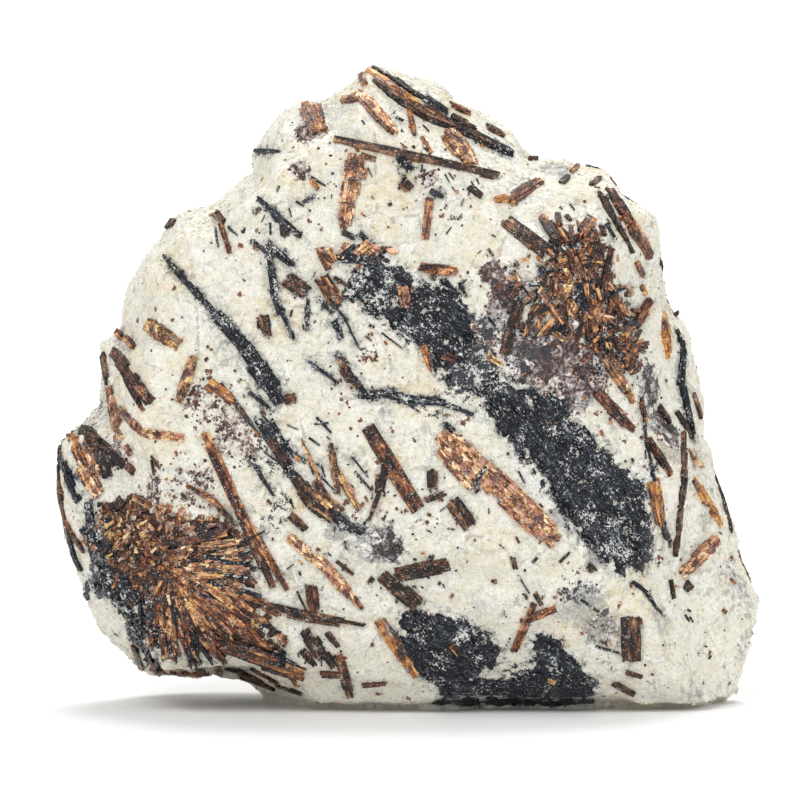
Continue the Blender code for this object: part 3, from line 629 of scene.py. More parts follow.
# %% Large crystals of the left side and the lower half
LARGE |= {
    "long_black_blade": (BLACK, [
        Blade(0.8, (-30.8, 56.5), (-25.0, 50.1), (-22.2, 47.0), tip=(0.2, 0.8), block=2.8),
        Blade(1.7, (-24.2, 49.2), (-19.4, 43.8), tip=(0.3, 0.8), block=2.8),
        Blade(2.5, (-20.8, 45.4), (-15.7, 37.9), tip=0.4, block=2.8),
    ]),
    "golden_mosaic_left": (GOLD, [
        Blade(2.1, (-33.0, 48.0), (-28.6, 45.1), tip=0.7, block=0.7, shade=(0.5, 0.6)),
    ]),
    "golden_blade_left": (GOLD, [
        Blade(1.4, (-26.8, 44.0), (-28.8, 38.0), block=1.0, shade=(0.35, 0.6)),
    ]),
    "brown_blade_left": (RED, [
        Blade(1.8, (-37.3, 44.6), (-32.3, 37.9), tip=(0.5, 0.7), block=1.8, shade=(0.3, 0.5)),
        Blade(0.7, (-36.0, 41.9), (-33.1, 36.8), tip=0.3, shade=0.0),
    ]),
    "pink_ribbon_left": (BRONZE, [
        Blade(1.5, (-37.8, 40.0), (-36.4, 33.2), tip=0.7, block=0.9, shade=(0.5, 0.8)),
    ]),
    "curved_ribbon_left": (BRONZE, [
        Blade(1.1, (-36.4, 37.2), (-34.7, 35.4), (-33.2, 34.2), (-28.0, 33.6), tip=0.8, block=0.6,
              shade=(0.35, 0.75)),
    ]),
    "amber_brown_blade_left": (AMBER, [
        Blade(1.8, (-25.2, 40.5), (-21.8, 38.0), tip=(0.8, 0.4), shade=(0.35, 0.5)),
        Blade(0.6, (-23.6, 40.6), (-20.4, 36.4), (-18.6, 33.8), tip=0.4, shade=-0.3),
    ]),
    "diagonal_black_band": (BLACK, [
        Blade(1.3, (-18.9, 35.9), (-16.6, 32.4), (-13.9, 28.0), tip=(0.5, 0.4), block=2.4),
        Blade(1.3, (-17.2, 35.4), (-14.6, 30.6), tip=(0.5, 0.4), block=2.4, shade=(0.6, 0.5)),
        Blade(0.9, (-14.4, 28.6), (-12.0, 26.2), (-9.6, 24.0), tip=0.5, block=2.0),
        Blade(1.3, (-10.2, 24.6), (-7.6, 22.6), (-5.4, 21.6), tip=0.5, block=2.0),
    ]),
    "twin_dark_blades": (DARK, [
        Blade(2.2, (-3.2, 16.5), (1.5, 12.4), tip=0.75, block=2.2, shade=(0.35, 0.5)),
        Blade(2.0, (-1.7, 16.3), (5.3, 17.7), tip=(0.8, 0.7), block=2.2, shade=(0.4, 0.5)),
    ]),
    "amber_black_blade": (AMBER, [
        Blade(1.3, (-3.9, 10.7), (1.2, 3.4), shade=(0.6, 0.3)),
        Blade(0.5, (-3.0, 10.9), (1.9, 4.0), tip=0.4, shade=-0.4),
    ]),
    "brown_fork_bottom": (RED, [
        Blade(1.0, (16.0, 12.9), (13.3, 6.6), tip=(0.5, 0.8), block=2.0, shade=(0.5, 0.35)),
        Blade(1.0, (18.9, 12.3), (15.0, 10.7), shade=(0.6, 0.5)),
    ]),
    "dark_block_bottom": (DARK, [Blade(2.5, (28.0, 11.2), (28.2, 5.4), tip=0.9, ragged=0.4, block=2.0)]),
    "left_long_twin": (RED, [
        Blade(1.4, (-25.6, 34.4), (-21.2, 24.6), tip=(0.6, 0.9), ragged=0.3, block=2.0, shade=(1.0, 0.4)),
        Blade(1.4, (-21.3, 24.8), (-16.8, 14.6), tip=(0.9, 0.4), block=2.4, shade=(0.4, 0.35)),
        Blade(1.0, (-20.4, 23.6), (-15.0, 14.3), tip=0.5, block=1.6, shade=(0.75, 0.55)),
    ]),
    "pink_bronze_blade": (BRONZE, [
        Blade(1.5, (-15.1, 21.2), (-10.4, 17.5), (-5.6, 12.0), tip=(0.8, 0.3), block=1.3,
              shade=(0.65, 0.5)),
    ]),
    "dark_bar_lower": (DARK, [
        Blade(1.4, (-21.2, 13.2), (-13.0, 11.2), (-5.2, 9.9), tip=(0.4, 0.3), block=2.6, shade=(0.3, 0.45)),
    ]),
    "dark_cluster_lower": (DARK, [
        Blade(1.5, (-13.2, 9.6), (-10.7, 5.6), tip=0.5, shade=(0.3, 0.4)),
        Blade(1.2, (-11.6, 8.6), (-9.2, 4.6), tip=0.4, shade=(0.2, 0.4)),
        Blade(0.9, (-13.4, 7.0), (-11.6, 4.9), tip=0.4, shade=(0.5, 0.4)),
        Blade(0.8, (-10.2, 9.2), (-8.6, 7.2), tip=0.4, shade=(0.3, 0.4)),
    ]),
    "left_edge_blades": (DARK, [
        Blade(1.8, (-42.4, 35.5), (-39.4, 33.1), (-35.8, 29.8), tip=(0.6, 0.7), block=2.0,
              shade=(0.45, 0.1)),
        Blade(1.8, (-39.2, 32.6), (-37.8, 28.4), tip=0.7, block=0.8, shade=(0.45, 0.3)),
    ]),
}
print(len(LARGE), "large crystals placed")

# %% [markdown]
# The other sides have a few large ones too. Then all of them are laid, each in place of its solid.

# %% Large crystals of the other sides
BACK_LARGE = {
    "back_black_blade": (BACK, BLACK, [
        Blade(2.3, (-26.2, 21.8), (-18.0, 31.0), (-10.8, 36.2), tip=0.3, block=2.8),
    ]),
    "back_bronze_slab": (BACK, BRONZE, [
        Blade(2.8, (17.8, 11.8), (25.2, 20.2), tip=0.8, block=1.3, shade=0.6),
    ]),
    "back_brown_blade": (BACK, RED, [Blade(1.7, (-14.2, 55.9), (-3.8, 61.1), tip=0.5, shade=(0.4, 0.6))]),
    "left_side_blade": (LEFT, RED, [Blade(1.6, (-7.0, 17.8), (1.1, 27.2), tip=0.5, shade=(0.6, 0.4))]),
    "right_side_blade": (RIGHT, DARK, [Blade(1.7, (-2.1, 21.8), (5.1, 33.2), tip=0.5, shade=(0.4, 0.5))]),
}

dressed = []
for number, (node, (finish, blades)) in enumerate(LARGE.items()):
    dressed.append((crystals(node + "_laths", FRONT, blades, number), finish, [node]))
for number, (node, (view, finish, blades)) in enumerate(BACK_LARGE.items()):
    dressed.append((crystals(node + "_laths", view, blades, 100 + number), finish, [node]))
print(len(dressed), "crystals laid,", sum(len(thing.data.polygons) for thing, _, _ in dressed), "faces")

# %% [markdown]
# ## Small crystals
# Between the large crystals lie many short ones, needles and splinters. They are made in the same way,
# and all those of one mineral are one piece.

# %% Small black, amber and red-brown crystals
SMALL_BLACK = [
    Blade(0.3, (29.4, 38.5), (30.2, 32.4), (31.6, 26.0), (33.2, 19.6), block=3.0, shade=0.1, proud=0.2),
    Blade(0.3, (-18.4, 36.8), (-15.6, 33.0), (-12.6, 30.6), block=2.0, shade=0.2),
    Blade(0.3, (-11.0, 52.6), (-8.0, 48.8), (-6.2, 45.2), block=2.0, shade=0.2),
    Blade(0.5, (-8.8, 56.0), (-6.4, 57.9), shade=0.1, proud=0.6),
    Blade(0.7, (-6.0, 59.4), (-4.4, 57.6), shade=0.2),
    Blade(0.5, (-19.3, 69.9), (-16.1, 69.7), shade=0.1),
    Blade(0.5, (-5.6, 81.1), (-2.6, 79.2)),
    Blade(1.3, (-2.0, 79.0), (0.1, 77.6)),
    Blade(1.5, (2.2, 76.5), (5.1, 74.5)),
    Blade(1.5, (10.8, 70.6), (13.4, 69.5), block=0.6),
    Blade(1.1, (-1.3, 69.0), (0.7, 67.1)),
    Blade(0.6, (2.8, 64.7), (4.7, 63.8)),
    Blade(0.4, (-13.4, 63.0), (-11.5, 64.2)),
    Blade(0.9, (16.4, 55.2), (17.2, 54.2)),
    Blade(0.5, (32.1, 23.0), (32.7, 20.6)),
    Blade(0.5, (-12.5, 51.1), (-12.6, 47.1)),
    Blade(0.5, (-11.2, 51.4), (-9.4, 49.0)),
    Blade(0.8, (-9.4, 48.6), (-8.2, 45.9)),
    Blade(0.4, (-12.6, 43.4), (-8.5, 40.3)),
    Blade(0.9, (4.5, 35.4), (6.0, 34.3)),
    Blade(0.5, (9.9, 30.3), (8.3, 27.2), proud=0.6),
    Blade(0.7, (-33.5, 57.3), (-32.7, 56.5)),
    Blade(0.5, (-20.2, 39.6), (-17.0, 37.1)),
    Blade(0.45, (-19.7, 31.0), (-16.8, 26.3)),
    Blade(1.1, (-36.4, 15.3), (-33.5, 13.0)),
    Blade(1.2, (-42.2, 29.1), (-41.3, 28.2)),
    Blade(1.2, (-44.0, 30.8), (-41.6, 25.4), tip=(0.4, 0.7), shade=(0.1, 0.3)),
    Blade(0.4, (-38.6, 45.6), (-38.3, 46.6), (-36.6, 48.0), shade=0.1),
    Blade(0.4, (4.8, 53.6), (6.4, 50.8), shade=(0.1, 0.2)),
    Blade(0.4, (6.4, 53.2), (7.4, 51.2), shade=(0.1, 0.2)),
    Blade(0.9, (-43.2, 22.2), (-42.2, 18.6), (-41.2, 16.6)),
    Blade(1.0, (-41.5, 14.8), (-40.4, 13.0)),
    Blade(1.4, (-40.4, 25.7), (-39.9, 20.6), (-38.7, 15.6), block=0.6),
    Blade(0.4, (28.2, 15.6), (30.1, 14.1), (31.5, 11.8)),
]
SMALL_AMBER = [
    Blade(1.3, (-5.0, 80.2), (-0.7, 76.9), (1.8, 75.6), tip=(0.4, 0.5), block=2.0, shade=(1.1, 0.5)),
    Blade(0.7, (12.4, 63.8), (10.8, 63.4), shade=0.8, proud=0.5),
    Blade(1.0, (-13.1, 76.6), (-12.6, 74.1), shade=(0.4, 0.5)),
    Blade(1.0, (-5.9, 79.5), (-5.3, 78.1), shade=(0.3, 0.4)),
    Blade(0.6, (0.1, 75.1), (0.9, 71.6)),
    Blade(0.5, (1.7, 71.5), (3.0, 69.2)),
    Blade(0.6, (-12.2, 66.1), (-11.2, 64.8)),
    Blade(0.8, (28.8, 55.8), (29.8, 53.9)),
    Blade(0.6, (29.4, 52.9), (30.1, 51.6)),
    Blade(0.9, (1.8, 45.5), (3.1, 41.9), tip=0.5, shade=(0.6, 0.5), proud=0.5),
    Blade(1.4, (-43.3, 34.9), (-40.8, 29.9), tip=(0.7, 0.8), shade=(0.8, 0.5), proud=0.4),
]
SMALL_RED = [
    Blade(0.6, (29.4, 38.3), (30.0, 35.4), shade=(0.4, 0.5)),
    Blade(0.9, (-11.2, 57.0), (-9.4, 55.4), shade=(0.6, 0.4), proud=0.5),
    Blade(0.7, (-4.4, 56.2), (-2.6, 57.6), shade=(0.4, 0.6), proud=0.5),
    Blade(0.6, (9.0, 66.8), (11.2, 66.2), shade=0.4),
    Blade(1.1, (-11.6, 76.3), (-10.8, 73.3)),
    Blade(0.4, (15.4, 68.9), (16.6, 68.9)),
    Blade(0.5, (13.1, 55.4), (14.2, 55.2)),
    Blade(0.8, (30.9, 51.0), (28.8, 47.5), block=0.4),
    Blade(0.5, (29.8, 49.5), (28.2, 49.7)),
    Blade(0.6, (36.1, 39.4), (37.3, 35.8)),
    Blade(1.3, (1.3, 55.1), (6.5, 54.4)),
    Blade(0.8, (3.6, 54.8), (3.1, 53.3)),
    Blade(0.9, (-36.8, 47.0), (-36.0, 46.2), shade=0.4, proud=0.4),
    Blade(1.0, (-35.4, 30.2), (-34.4, 29.2), shade=0.3, proud=0.4),
    Blade(1.3, (5.4, 75.8), (8.0, 74.6), block=0.6, shade=(0.3, 0.2), proud=0.2),
    Blade(1.2, (10.0, 73.1), (12.4, 71.8), block=0.6, shade=(0.3, 0.2), proud=0.2),
    Blade(0.9, (-35.6, 46.2), (-34.4, 44.9), shade=(0.5, 0.6), proud=0.4),
    Blade(1.0, (4.2, 44.1), (6.4, 43.4), tip=0.3, shade=(0.3, 0.5), proud=0.5),
    Blade(0.9, (5.4, 7.8), (6.6, 6.3), tip=0.4, shade=(0.4, 0.5), proud=0.5),
    Blade(0.7, (-24.6, 61.8), (-23.0, 60.8)),
    Blade(0.7, (-23.5, 60.5), (-22.3, 56.7)),
    Blade(1.6, (-15.0, 39.4), (-14.6, 37.7), shade=0.3),
    Blade(1.6, (-12.2, 15.2), (-11.7, 11.6)),
    Blade(1.0, (-32.6, 4.1), (-26.3, 3.4), tip=0.5, shade=(0.5, 0.6)),
    Blade(0.7, (-15.4, 4.4), (-13.8, 2.2), tip=0.5, shade=0.6),
    Blade(1.3, (-8.7, 6.5), (-7.2, 0.8), shade=(0.6, 0.8)),
    Blade(0.9, (-11.1, 3.9), (-8.3, 3.7)),
    Blade(0.6, (-6.0, 2.4), (-2.5, 2.7)),
    Blade(0.6, (-43.9, 24.2), (-42.5, 21.3), (-40.8, 19.0)),
]
print(len(SMALL_BLACK + SMALL_AMBER + SMALL_RED), "small crystals placed")

# %% [markdown]
# The dark brown ones are short and stout. Golden and bronze ones are bright flakes, often beside them.

# %% Small dark brown, golden and bronze crystals
SMALL_DARK = [
    Blade(1.4, (-17.3, 33.6), (-14.8, 30.0), shade=(0.4, 0.6), proud=0.5),
    Blade(2.0, (-14.2, 28.8), (-12.0, 25.6), (-9.2, 23.4), tip=(0.5, 0.7), shade=(0.35, 0.7), proud=0.4),
    Blade(1.0, (-11.8, 28.4), (-9.2, 24.8), tip=0.4, shade=(0.6, 0.8), proud=0.4),
    Blade(1.0, (33.9, 37.0), (36.0, 33.6), tip=0.4, shade=(0.1, 0.2)),
    Blade(1.0, (-8.6, 43.8), (-7.6, 41.4), (-6.0, 39.8), shade=(0.7, 0.6), proud=0.5),
    Blade(0.9, (-23.1, 4.4), (-18.4, 2.7), tip=0.5, shade=(0.4, 0.6)),
    Blade(0.9, (-18.4, 4.6), (-13.0, 3.2), tip=0.5, shade=(0.3, 0.5)),
    Blade(0.8, (-21.2, 3.2), (-16.6, 1.6), tip=0.4, shade=0.3),
    Blade(0.7, (-16.8, 2.4), (-13.2, 1.2), tip=0.4),
    Blade(1.4, (-0.9, 66.1), (0.4, 64.7), tip=1.0, shade=(0.7, 0.6)),
    Blade(1.0, (7.7, 65.2), (9.4, 63.8)),
    Blade(0.8, (19.4, 65.7), (20.4, 66.7)),
    Blade(0.6, (20.7, 67.2), (21.7, 68.1)),
    Blade(0.7, (23.1, 65.4), (24.4, 66.5)),
    Blade(1.4, (25.6, 51.6), (26.9, 49.1)),
    Blade(0.8, (33.9, 49.5), (34.9, 48.7)),
    Blade(1.2, (34.9, 15.3), (35.9, 14.3)),
    Blade(0.5, (33.1, 15.9), (33.6, 13.0)),
    Blade(1.1, (4.9, 44.4), (5.6, 42.9)),
    Blade(1.7, (-18.3, 49.1), (-17.7, 46.2)),
    Blade(1.2, (-15.5, 60.5), (-15.4, 58.7)),
    Blade(1.4, (3.1, 29.7), (3.1, 27.0)),
    Blade(0.8, (2.1, 25.7), (4.9, 26.7)),
    Blade(1.7, (-30.3, 60.0), (-29.1, 61.9)),
    Blade(1.1, (-38.7, 44.4), (-38.0, 40.2)),
    Blade(1.0, (31.6, 37.6), (33.2, 35.4), tip=0.5, shade=(0.3, 0.6)),
    Blade(1.1, (-14.9, 24.1), (-12.6, 21.9)),
    Blade(0.5, (-8.9, 18.1), (-6.6, 16.2)),
    Blade(0.8, (-44.4, 30.1), (-44.0, 25.7), (-43.2, 22.2)),
    Blade(1.0, (22.6, 17.7), (23.6, 16.7)),
    Blade(0.9, (26.0, 2.7), (28.9, 1.1)),
    Blade(0.6, (27.3, 4.2), (29.8, 3.4)),
]
SMALL_GOLD = [
    Blade(0.6, (35.3, 32.2), (37.4, 29.8), shade=(0.6, 0.5)),
    Blade(0.9, (-10.9, 26.0), (-9.6, 24.8), shade=(0.6, 0.7), proud=0.6),
    Blade(0.45, (-13.4, 33.6), (-10.6, 27.4), tip=0.3, shade=0.6),
    Blade(0.9, (-35.6, 32.6), (-34.7, 31.4), shade=(0.6, 0.4), proud=0.4),
    Blade(0.8, (-8.8, 29.6), (-5.9, 24.4), tip=0.5, shade=(0.5, 0.6), proud=0.5),
    Blade(0.7, (9.9, 44.0), (11.8, 42.8), shade=(0.6, 0.7), proud=0.4),
    Blade(0.8, (17.6, 3.4), (18.8, 2.8), shade=0.6, proud=0.5),
    Blade(1.3, (18.2, 46.7), (19.9, 45.6), shade=(0.75, 0.8), proud=0.5),
    Blade(0.7, (-10.0, 57.6), (-9.0, 55.6), shade=(0.5, 0.6), proud=0.5),
    Blade(0.8, (-6.6, 56.4), (-4.6, 57.8), shade=0.6, proud=0.6),
    Blade(1.3, (24.4, 43.8), (26.6, 40.9), (28.4, 38.0), tip=0.3, shade=(0.5, 0.8), proud=0.6),
    Blade(1.7, (-6.1, 57.5), (-3.9, 57.1), block=0.6),
    Blade(1.0, (-13.0, 27.6), (-7.9, 24.4)),
    Blade(1.0, (-26.3, 19.7), (-20.6, 20.6)),
    Blade(0.9, (-25.0, 17.5), (-20.2, 16.8)),
]
SMALL_BRONZE = [
    Blade(0.9, (-7.6, 58.0), (-8.6, 55.9), shade=(0.5, 0.6), proud=0.5),
    Blade(0.8, (-5.4, 58.2), (-3.4, 56.6), shade=(0.4, 0.5), proud=0.5),
    Blade(0.7, (-2.6, 57.4), (-1.2, 56.6)),
    Blade(1.1, (-11.2, 57.6), (-9.7, 54.4)),
    Blade(1.3, (-0.6, 52.7), (-0.1, 49.7), proud=0.9),
    Blade(1.3, (-16.4, 8.5), (-14.9, 8.0)),
    Blade(2.1, (-41.4, 30.0), (-38.8, 26.2), block=0.8, shade=(0.5, 0.65), proud=0.45),
    Blade(1.3, (-41.0, 33.2), (-38.7, 28.6), block=0.9, shade=(0.7, 0.4), proud=0.42),
]
SMALL = {BLACK: SMALL_BLACK, AMBER: SMALL_AMBER, RED: SMALL_RED, DARK: SMALL_DARK, GOLD: SMALL_GOLD,
         BRONZE: SMALL_BRONZE}
for number, (finish, blades) in enumerate(SMALL.items()):
    dressed.append((crystals("small_" + finish, FRONT, blades, 200 + number), finish, []))
print(sum(len(blades) for blades in SMALL.values()), "small crystals laid")

# %% [markdown]
# ## Black masses
# The black mineral is fibrous and lies in broad lenses whose edges fray into the feldspar. A flat plate
# would show a cut edge. Here a fine grid is dropped on the rock and raised inside the outline of the
# mass. Near the outline, and in patches inside it, noise pulls the grid below the rock, so the two grow
# into each other. The sheet is then extruded inwards, which closes it.

# %% Frayed sheets
GRID = 0.30
SHEET_MARGIN = Vector((1.5, 1.5))
SHEET_DEPTH = 1.8 * MM
LONGEST_STEP = 1.3 * MM
LOWEST = -0.7
OFF_THE_FRONT = 4.0
EDGE_WIDTH = 0.5
STREAK_SCALE = (0.35, 2.2)
CLUMP_SCALE = 0.9
FINE_SCALE = 1.5
STREAK_RISE = 0.20
FINE_RISE = 0.22
GAP_DEPTH = 2.0
DUST_TONE = 0.8


def outline_distance(place, outline):
    """How far a place lies inside an outline, in mm, and less than nothing outside it."""
    nearest = math.inf
    inside = False
    for start, end in zip(outline, outline[1:] + outline[:1]):
        side = end - start
        share = min(max((place - start).dot(side) / side.length_squared, 0.0), 1.0)
        nearest = min(nearest, (place - start - side * share).length)
        if (start.y > place.y) != (end.y > place.y):
            crossing = start.x + (place.y - start.y) / (end.y - start.y) * (end.x - start.x)
            inside = inside != (place.x < crossing)
    return nearest if inside else -nearest


class Mass:
    """A frayed sheet: its outline, the way of its fibres in degrees, how broken it is, how proud and how
    frayed in mm, its tone, and round places where white dust lies on it: across, up and radius."""

    def __init__(self, *outline, fibre=-50.0, broken=0.25, proud=0.3, fray=1.2, tone=0.4, dusted=()):
        self.outline = [Vector(place) for place in outline]
        self.fibre = Vector((math.cos(math.radians(fibre)), math.sin(math.radians(fibre))))
        self.broken = broken
        self.proud = proud
        self.fray = fray
        self.tone = tone
        self.dusted = dusted

    def at(self, place, shift):
        """The sheet at a place: its rise, from -1 outside to 1, its height in mm and its layer's values."""
        along = place.dot(self.fibre)
        across = place.x * -self.fibre.y + place.y * self.fibre.x
        streak = noise.noise(Vector((along * STREAK_SCALE[0], across * STREAK_SCALE[1], 0.0)) + shift)
        clump = noise.noise(Vector((place.x, place.y, 5.0)) * CLUMP_SCALE + shift)
        fine = noise.noise(Vector((place.x, place.y, 9.0)) * FINE_SCALE + shift)
        frayed = self.fray * (0.7 * clump + 0.8 * streak + 0.3 * fine)
        inner = outline_distance(place, self.outline) + frayed
        rise = min(max(inner / EDGE_WIDTH, -1.0), 1.0)
        gap = max(0.0, self.broken - 0.5 - 0.7 * (clump + 0.4 * fine))
        height = self.proud * rise + STREAK_RISE * streak + FINE_RISE * fine - GAP_DEPTH * gap
        dust = max((1 - math.dist(place, spot[:2]) / spot[2] for spot in self.dusted), default=0.0)
        dust = max(min(1.4 * dust + 1.6 * clump + 1.0 * streak, 1.0), 0.0) if dust > 0 else 0.0
        tone = self.tone + 0.2 * (1 - rise) + 0.4 * clump + 0.5 * gap + DUST_TONE * dust
        return rise, height, (along, across, tone)


def closed_sheet(shape, view):
    """Turns a torn surface into a closed sheet, extruded into the rock."""
    torn = [edge for edge in shape.edges if edge.calc_length() > LONGEST_STEP]
    bmesh.ops.delete(shape, geom=torn, context="EDGES")
    largest_body(shape)
    bmesh.ops.recalc_face_normals(shape, faces=shape.faces)
    made = bmesh.ops.extrude_face_region(shape, geom=shape.faces[:], use_keep_orig=True)
    for vertex in made["geom"]:
        if isinstance(vertex, bmesh.types.BMVert):
            vertex.co += view.inward * SHEET_DEPTH
    bmesh.ops.recalc_face_normals(shape, faces=shape.faces)
    mesh = bpy.data.meshes.new("sheet")
    shape.to_mesh(mesh)
    shape.free()
    return mesh


def sheet(view, mass, seed):
    """One frayed sheet as a mesh."""
    low = Vector((min(p.x for p in mass.outline), min(p.y for p in mass.outline))) - SHEET_MARGIN
    high = Vector((max(p.x for p in mass.outline), max(p.y for p in mass.outline))) + SHEET_MARGIN
    steps = [max(2, math.ceil((b - a) / GRID)) for a, b in zip(low, high)]
    shape = Pile.fresh()
    bmesh.ops.create_grid(shape, x_segments=steps[0], y_segments=steps[1], size=0.5)
    layer = shape.verts.layers.float_vector[LAYER]
    shift = Vector((seed * 7.3, seed * 3.1, 0.0))
    lost = []
    for vertex in shape.verts:
        place = Vector((low.x + (vertex.co.x + 0.5) * (high.x - low.x),
                        low.y + (vertex.co.y + 0.5) * (high.y - low.y)))
        rise, height, values = mass.at(place, shift)
        point, facing, _, _ = ground.ray_cast(view.start(place.x, place.y), view.inward)
        if point is None or rise <= -1.0:
            lost.append(vertex)
            continue
        if view is not FRONT:
            height = min(height, (facing.dot(FRONT.inward) - TURNED_AWAY) * OFF_THE_FRONT)
        vertex.co = point - view.inward * max(height, LOWEST) * MM
        vertex[layer] = values
    bmesh.ops.delete(shape, geom=lost, context="VERTS")
    return closed_sheet(shape, view)


def grown_together(name, view, blades, masses, seed):
    """One piece made of blades and frayed sheets."""
    pile = Pile()
    chance = random.Random(seed)
    for blade in blades:
        lay(pile, view, blade, chance)
    for number, mass in enumerate(masses):
        pile.meshes.append(sheet(view, mass, seed + number))
    return pile.finish(name)


print("a mass is sampled every", GRID, "mm")

# %% [markdown]
# Each mass of the display side has the outline that shows on the rock, and white dust lies on it in round
# places.

# %% Black masses of the display side
MASSES = {
    "upper_black_mass": [
        Mass((-7.4, 54.4), (-4.5, 55.9), (-2.0, 55.6), (0.4, 54.4), (1.2, 52.7), (4.6, 52.8), (6.9, 50.7),
             (8.3, 47.9), (7.9, 45.0), (6.4, 42.4), (4.0, 42.4), (2.2, 44.0), (-0.6, 46.5), (-3.8, 48.8),
             (-7.4, 51.4), fibre=-40.0, broken=0.28, tone=0.25, dusted=[(-5.6, 53.2, 2.4),
             (-3.4, 50.4, 2.4), (-0.6, 47.6, 1.8), (-2.2, 53.4, 1.4)]),
        Mass((4.1, 44.1), (8.5, 44.7), (12.5, 40.6), (10.4, 38.0), (7.3, 39.6), (4.7, 41.4),
             broken=0.55, fray=1.6, proud=0.2, tone=0.6, dusted=[(8.0, 42.4, 3.0)]),
    ],
    "centre_black_blade": [
        Mass((9.8, 39.0), (13.0, 40.3), (16.1, 39.6), (19.3, 38.4), (21.8, 35.2), (24.4, 32.0),
             (27.2, 29.5), (29.4, 27.0), (30.4, 22.5), (30.7, 18.1), (29.8, 16.6), (26.6, 16.8),
             (24.4, 18.1), (22.2, 20.6), (18.3, 26.3), (16.1, 29.5), (13.6, 32.3), (11.7, 34.6),
             (10.2, 36.8), fibre=-52.0, broken=0.24, tone=0.2, dusted=[(19.6, 34.8, 2.2), (24.2, 29.8, 1.8),
             (26.2, 20.8, 3.0), (14.4, 34.6, 1.2), (22.4, 23.6, 1.2), (17.6, 29.0, 1.2)]),
    ],
    "lower_black_lens": [
        Mass((-0.9, 11.4), (0.9, 11.8), (3.0, 11.4), (5.6, 10.9), (7.9, 9.9), (10.2, 8.2), (11.7, 6.6),
             (10.7, 4.9), (9.2, 4.1), (6.9, 2.7), (5.1, 1.9), (2.2, 3.5), (0.1, 5.4), (-0.7, 8.0),
             fibre=-35.0, broken=0.2, fray=0.6, tone=0.1, dusted=[(7.0, 8.6, 1.8), (9.2, 6.6, 1.6)]),
    ],
    "bottom_black_mass": [
        Mass((16.5, 9.0), (15.6, 7.1), (16.6, 5.0), (14.2, 3.4), (9.0, 3.0), (5.0, 2.6), (4.0, 0.0),
             (16.0, -1.6), (23.3, 0.4), (23.6, 2.6), (22.2, 4.4), (20.6, 5.6), (18.7, 8.1), fibre=-30.0,
             broken=0.2, fray=0.7, tone=0.1, dusted=[(18.0, 5.4, 1.2)]),
    ],
}
MASS_BLADES = {
    "upper_black_mass": [Blade(1.3, (-9.8, 56.3), (-6.0, 56.1), (-2.4, 54.8), tip=0.3)],
}
print(len(MASSES), "masses outlined")

# %% [markdown]
# The masses of the other sides are guesses, smaller and simpler. Then all of them are spread.

# %% Black masses of the other sides
OTHER_MASSES = {
    "back_mass_high": (BACK, [
        Mass((-24.0, 52.0), (-18.0, 57.0), (-9.0, 60.0), (-4.0, 58.0), (-8.0, 53.0), (-15.0, 50.0),
             fibre=30.0, tone=0.5),
    ]),
    "back_mass_low": (BACK, [
        Mass((-20.0, 9.0), (-14.0, 15.0), (-4.0, 22.0), (4.0, 24.0), (6.0, 21.0), (-1.0, 15.0), (-9.0, 9.0),
             fibre=35.0, tone=0.45, broken=0.35),
        Mass((26.0, 31.0), (31.0, 32.0), (34.0, 24.0), (33.0, 16.0), (30.0, 17.0), fibre=70.0, tone=0.5,
             broken=0.4),
    ]),
    "left_side_mass": (LEFT, [
        Mass((-8.0, 28.0), (-3.0, 36.0), (4.0, 46.0), (7.0, 44.0), (3.0, 33.0), (-4.0, 26.0), fibre=60.0,
             tone=0.5, broken=0.4),
    ]),
    "right_side_mass": (RIGHT, [
        Mass((0.0, 8.0), (4.0, 18.0), (8.0, 24.0), (10.0, 22.0), (6.0, 9.0), fibre=60.0, tone=0.5,
             broken=0.4),
    ]),
}
for number, (name, (view, masses)) in enumerate(OTHER_MASSES.items()):
    dressed.append((grown_together(name, view, [], masses, 360 + 10 * number), BLACK, []))
for number, (node, masses) in enumerate(MASSES.items()):
    piece = grown_together(node + "_sheet", FRONT, MASS_BLADES.get(node, []), masses, 300 + 10 * number)
    dressed.append((piece, BLACK, [node]))
print(len(MASSES) + len(OTHER_MASSES), "pieces of black mass spread")

# %% [markdown]
# ## Sprays
# In two places blades radiate from one point, which is how astrophyllite got the name of star leaf. A
# spray is a fan of blades by the hundred: the listed ones that give it its figure, and many thin ones at
# random angles between them, on a frayed dark sheet. Close to the middle it is too crowded for blades and
# turns granular.

# %% Fans of random blades
FAN_TONES = 0.46
FAN_PALER = 0.08
FAN_TIP = (0.6, 0.4)
FAN_BLOCKS = (0.6, 2.0)
FAN_HEIGHTS = (0.0, 0.5)


class Fan:
    """Random blades around a centre: between which angles they lie, in degrees, and how far out they start,
    how long and how wide they are, in mm. Stray is how far they turn from straight out, in degrees."""

    def __init__(self, centre, angles, reaches, lengths, widths, count, shade=0.58, stray=9):
        self.centre = Vector(centre)
        self.angles = angles
        self.reaches = reaches
        self.lengths = lengths
        self.widths = widths
        self.count = count
        self.shade = shade
        self.stray = stray

    def blades(self, chance):
        for number in range(self.count):
            angle = math.radians(chance.uniform(*self.angles))
            outward = Vector((math.cos(angle), math.sin(angle)))
            strayed = angle + math.radians(chance.gauss(0, self.stray))
            heading = Vector((math.cos(strayed), math.sin(strayed)))
            first = self.centre + outward * chance.uniform(*self.reaches)
            last = first + heading * chance.uniform(*self.lengths)
            shade = chance.gauss(self.shade, FAN_TONES), chance.gauss(self.shade + FAN_PALER, FAN_TONES)
            yield Blade(chance.uniform(*self.widths), first, last, tip=FAN_TIP,
                        block=chance.uniform(*FAN_BLOCKS), proud=chance.uniform(*FAN_HEIGHTS), shade=shade)


print("the blades of a fan crack every", FAN_BLOCKS, "mm")

# %% [markdown]
# The left spray is the largest. Its longest blades run to the lower right, and its upper left is a crowd
# of short ones.

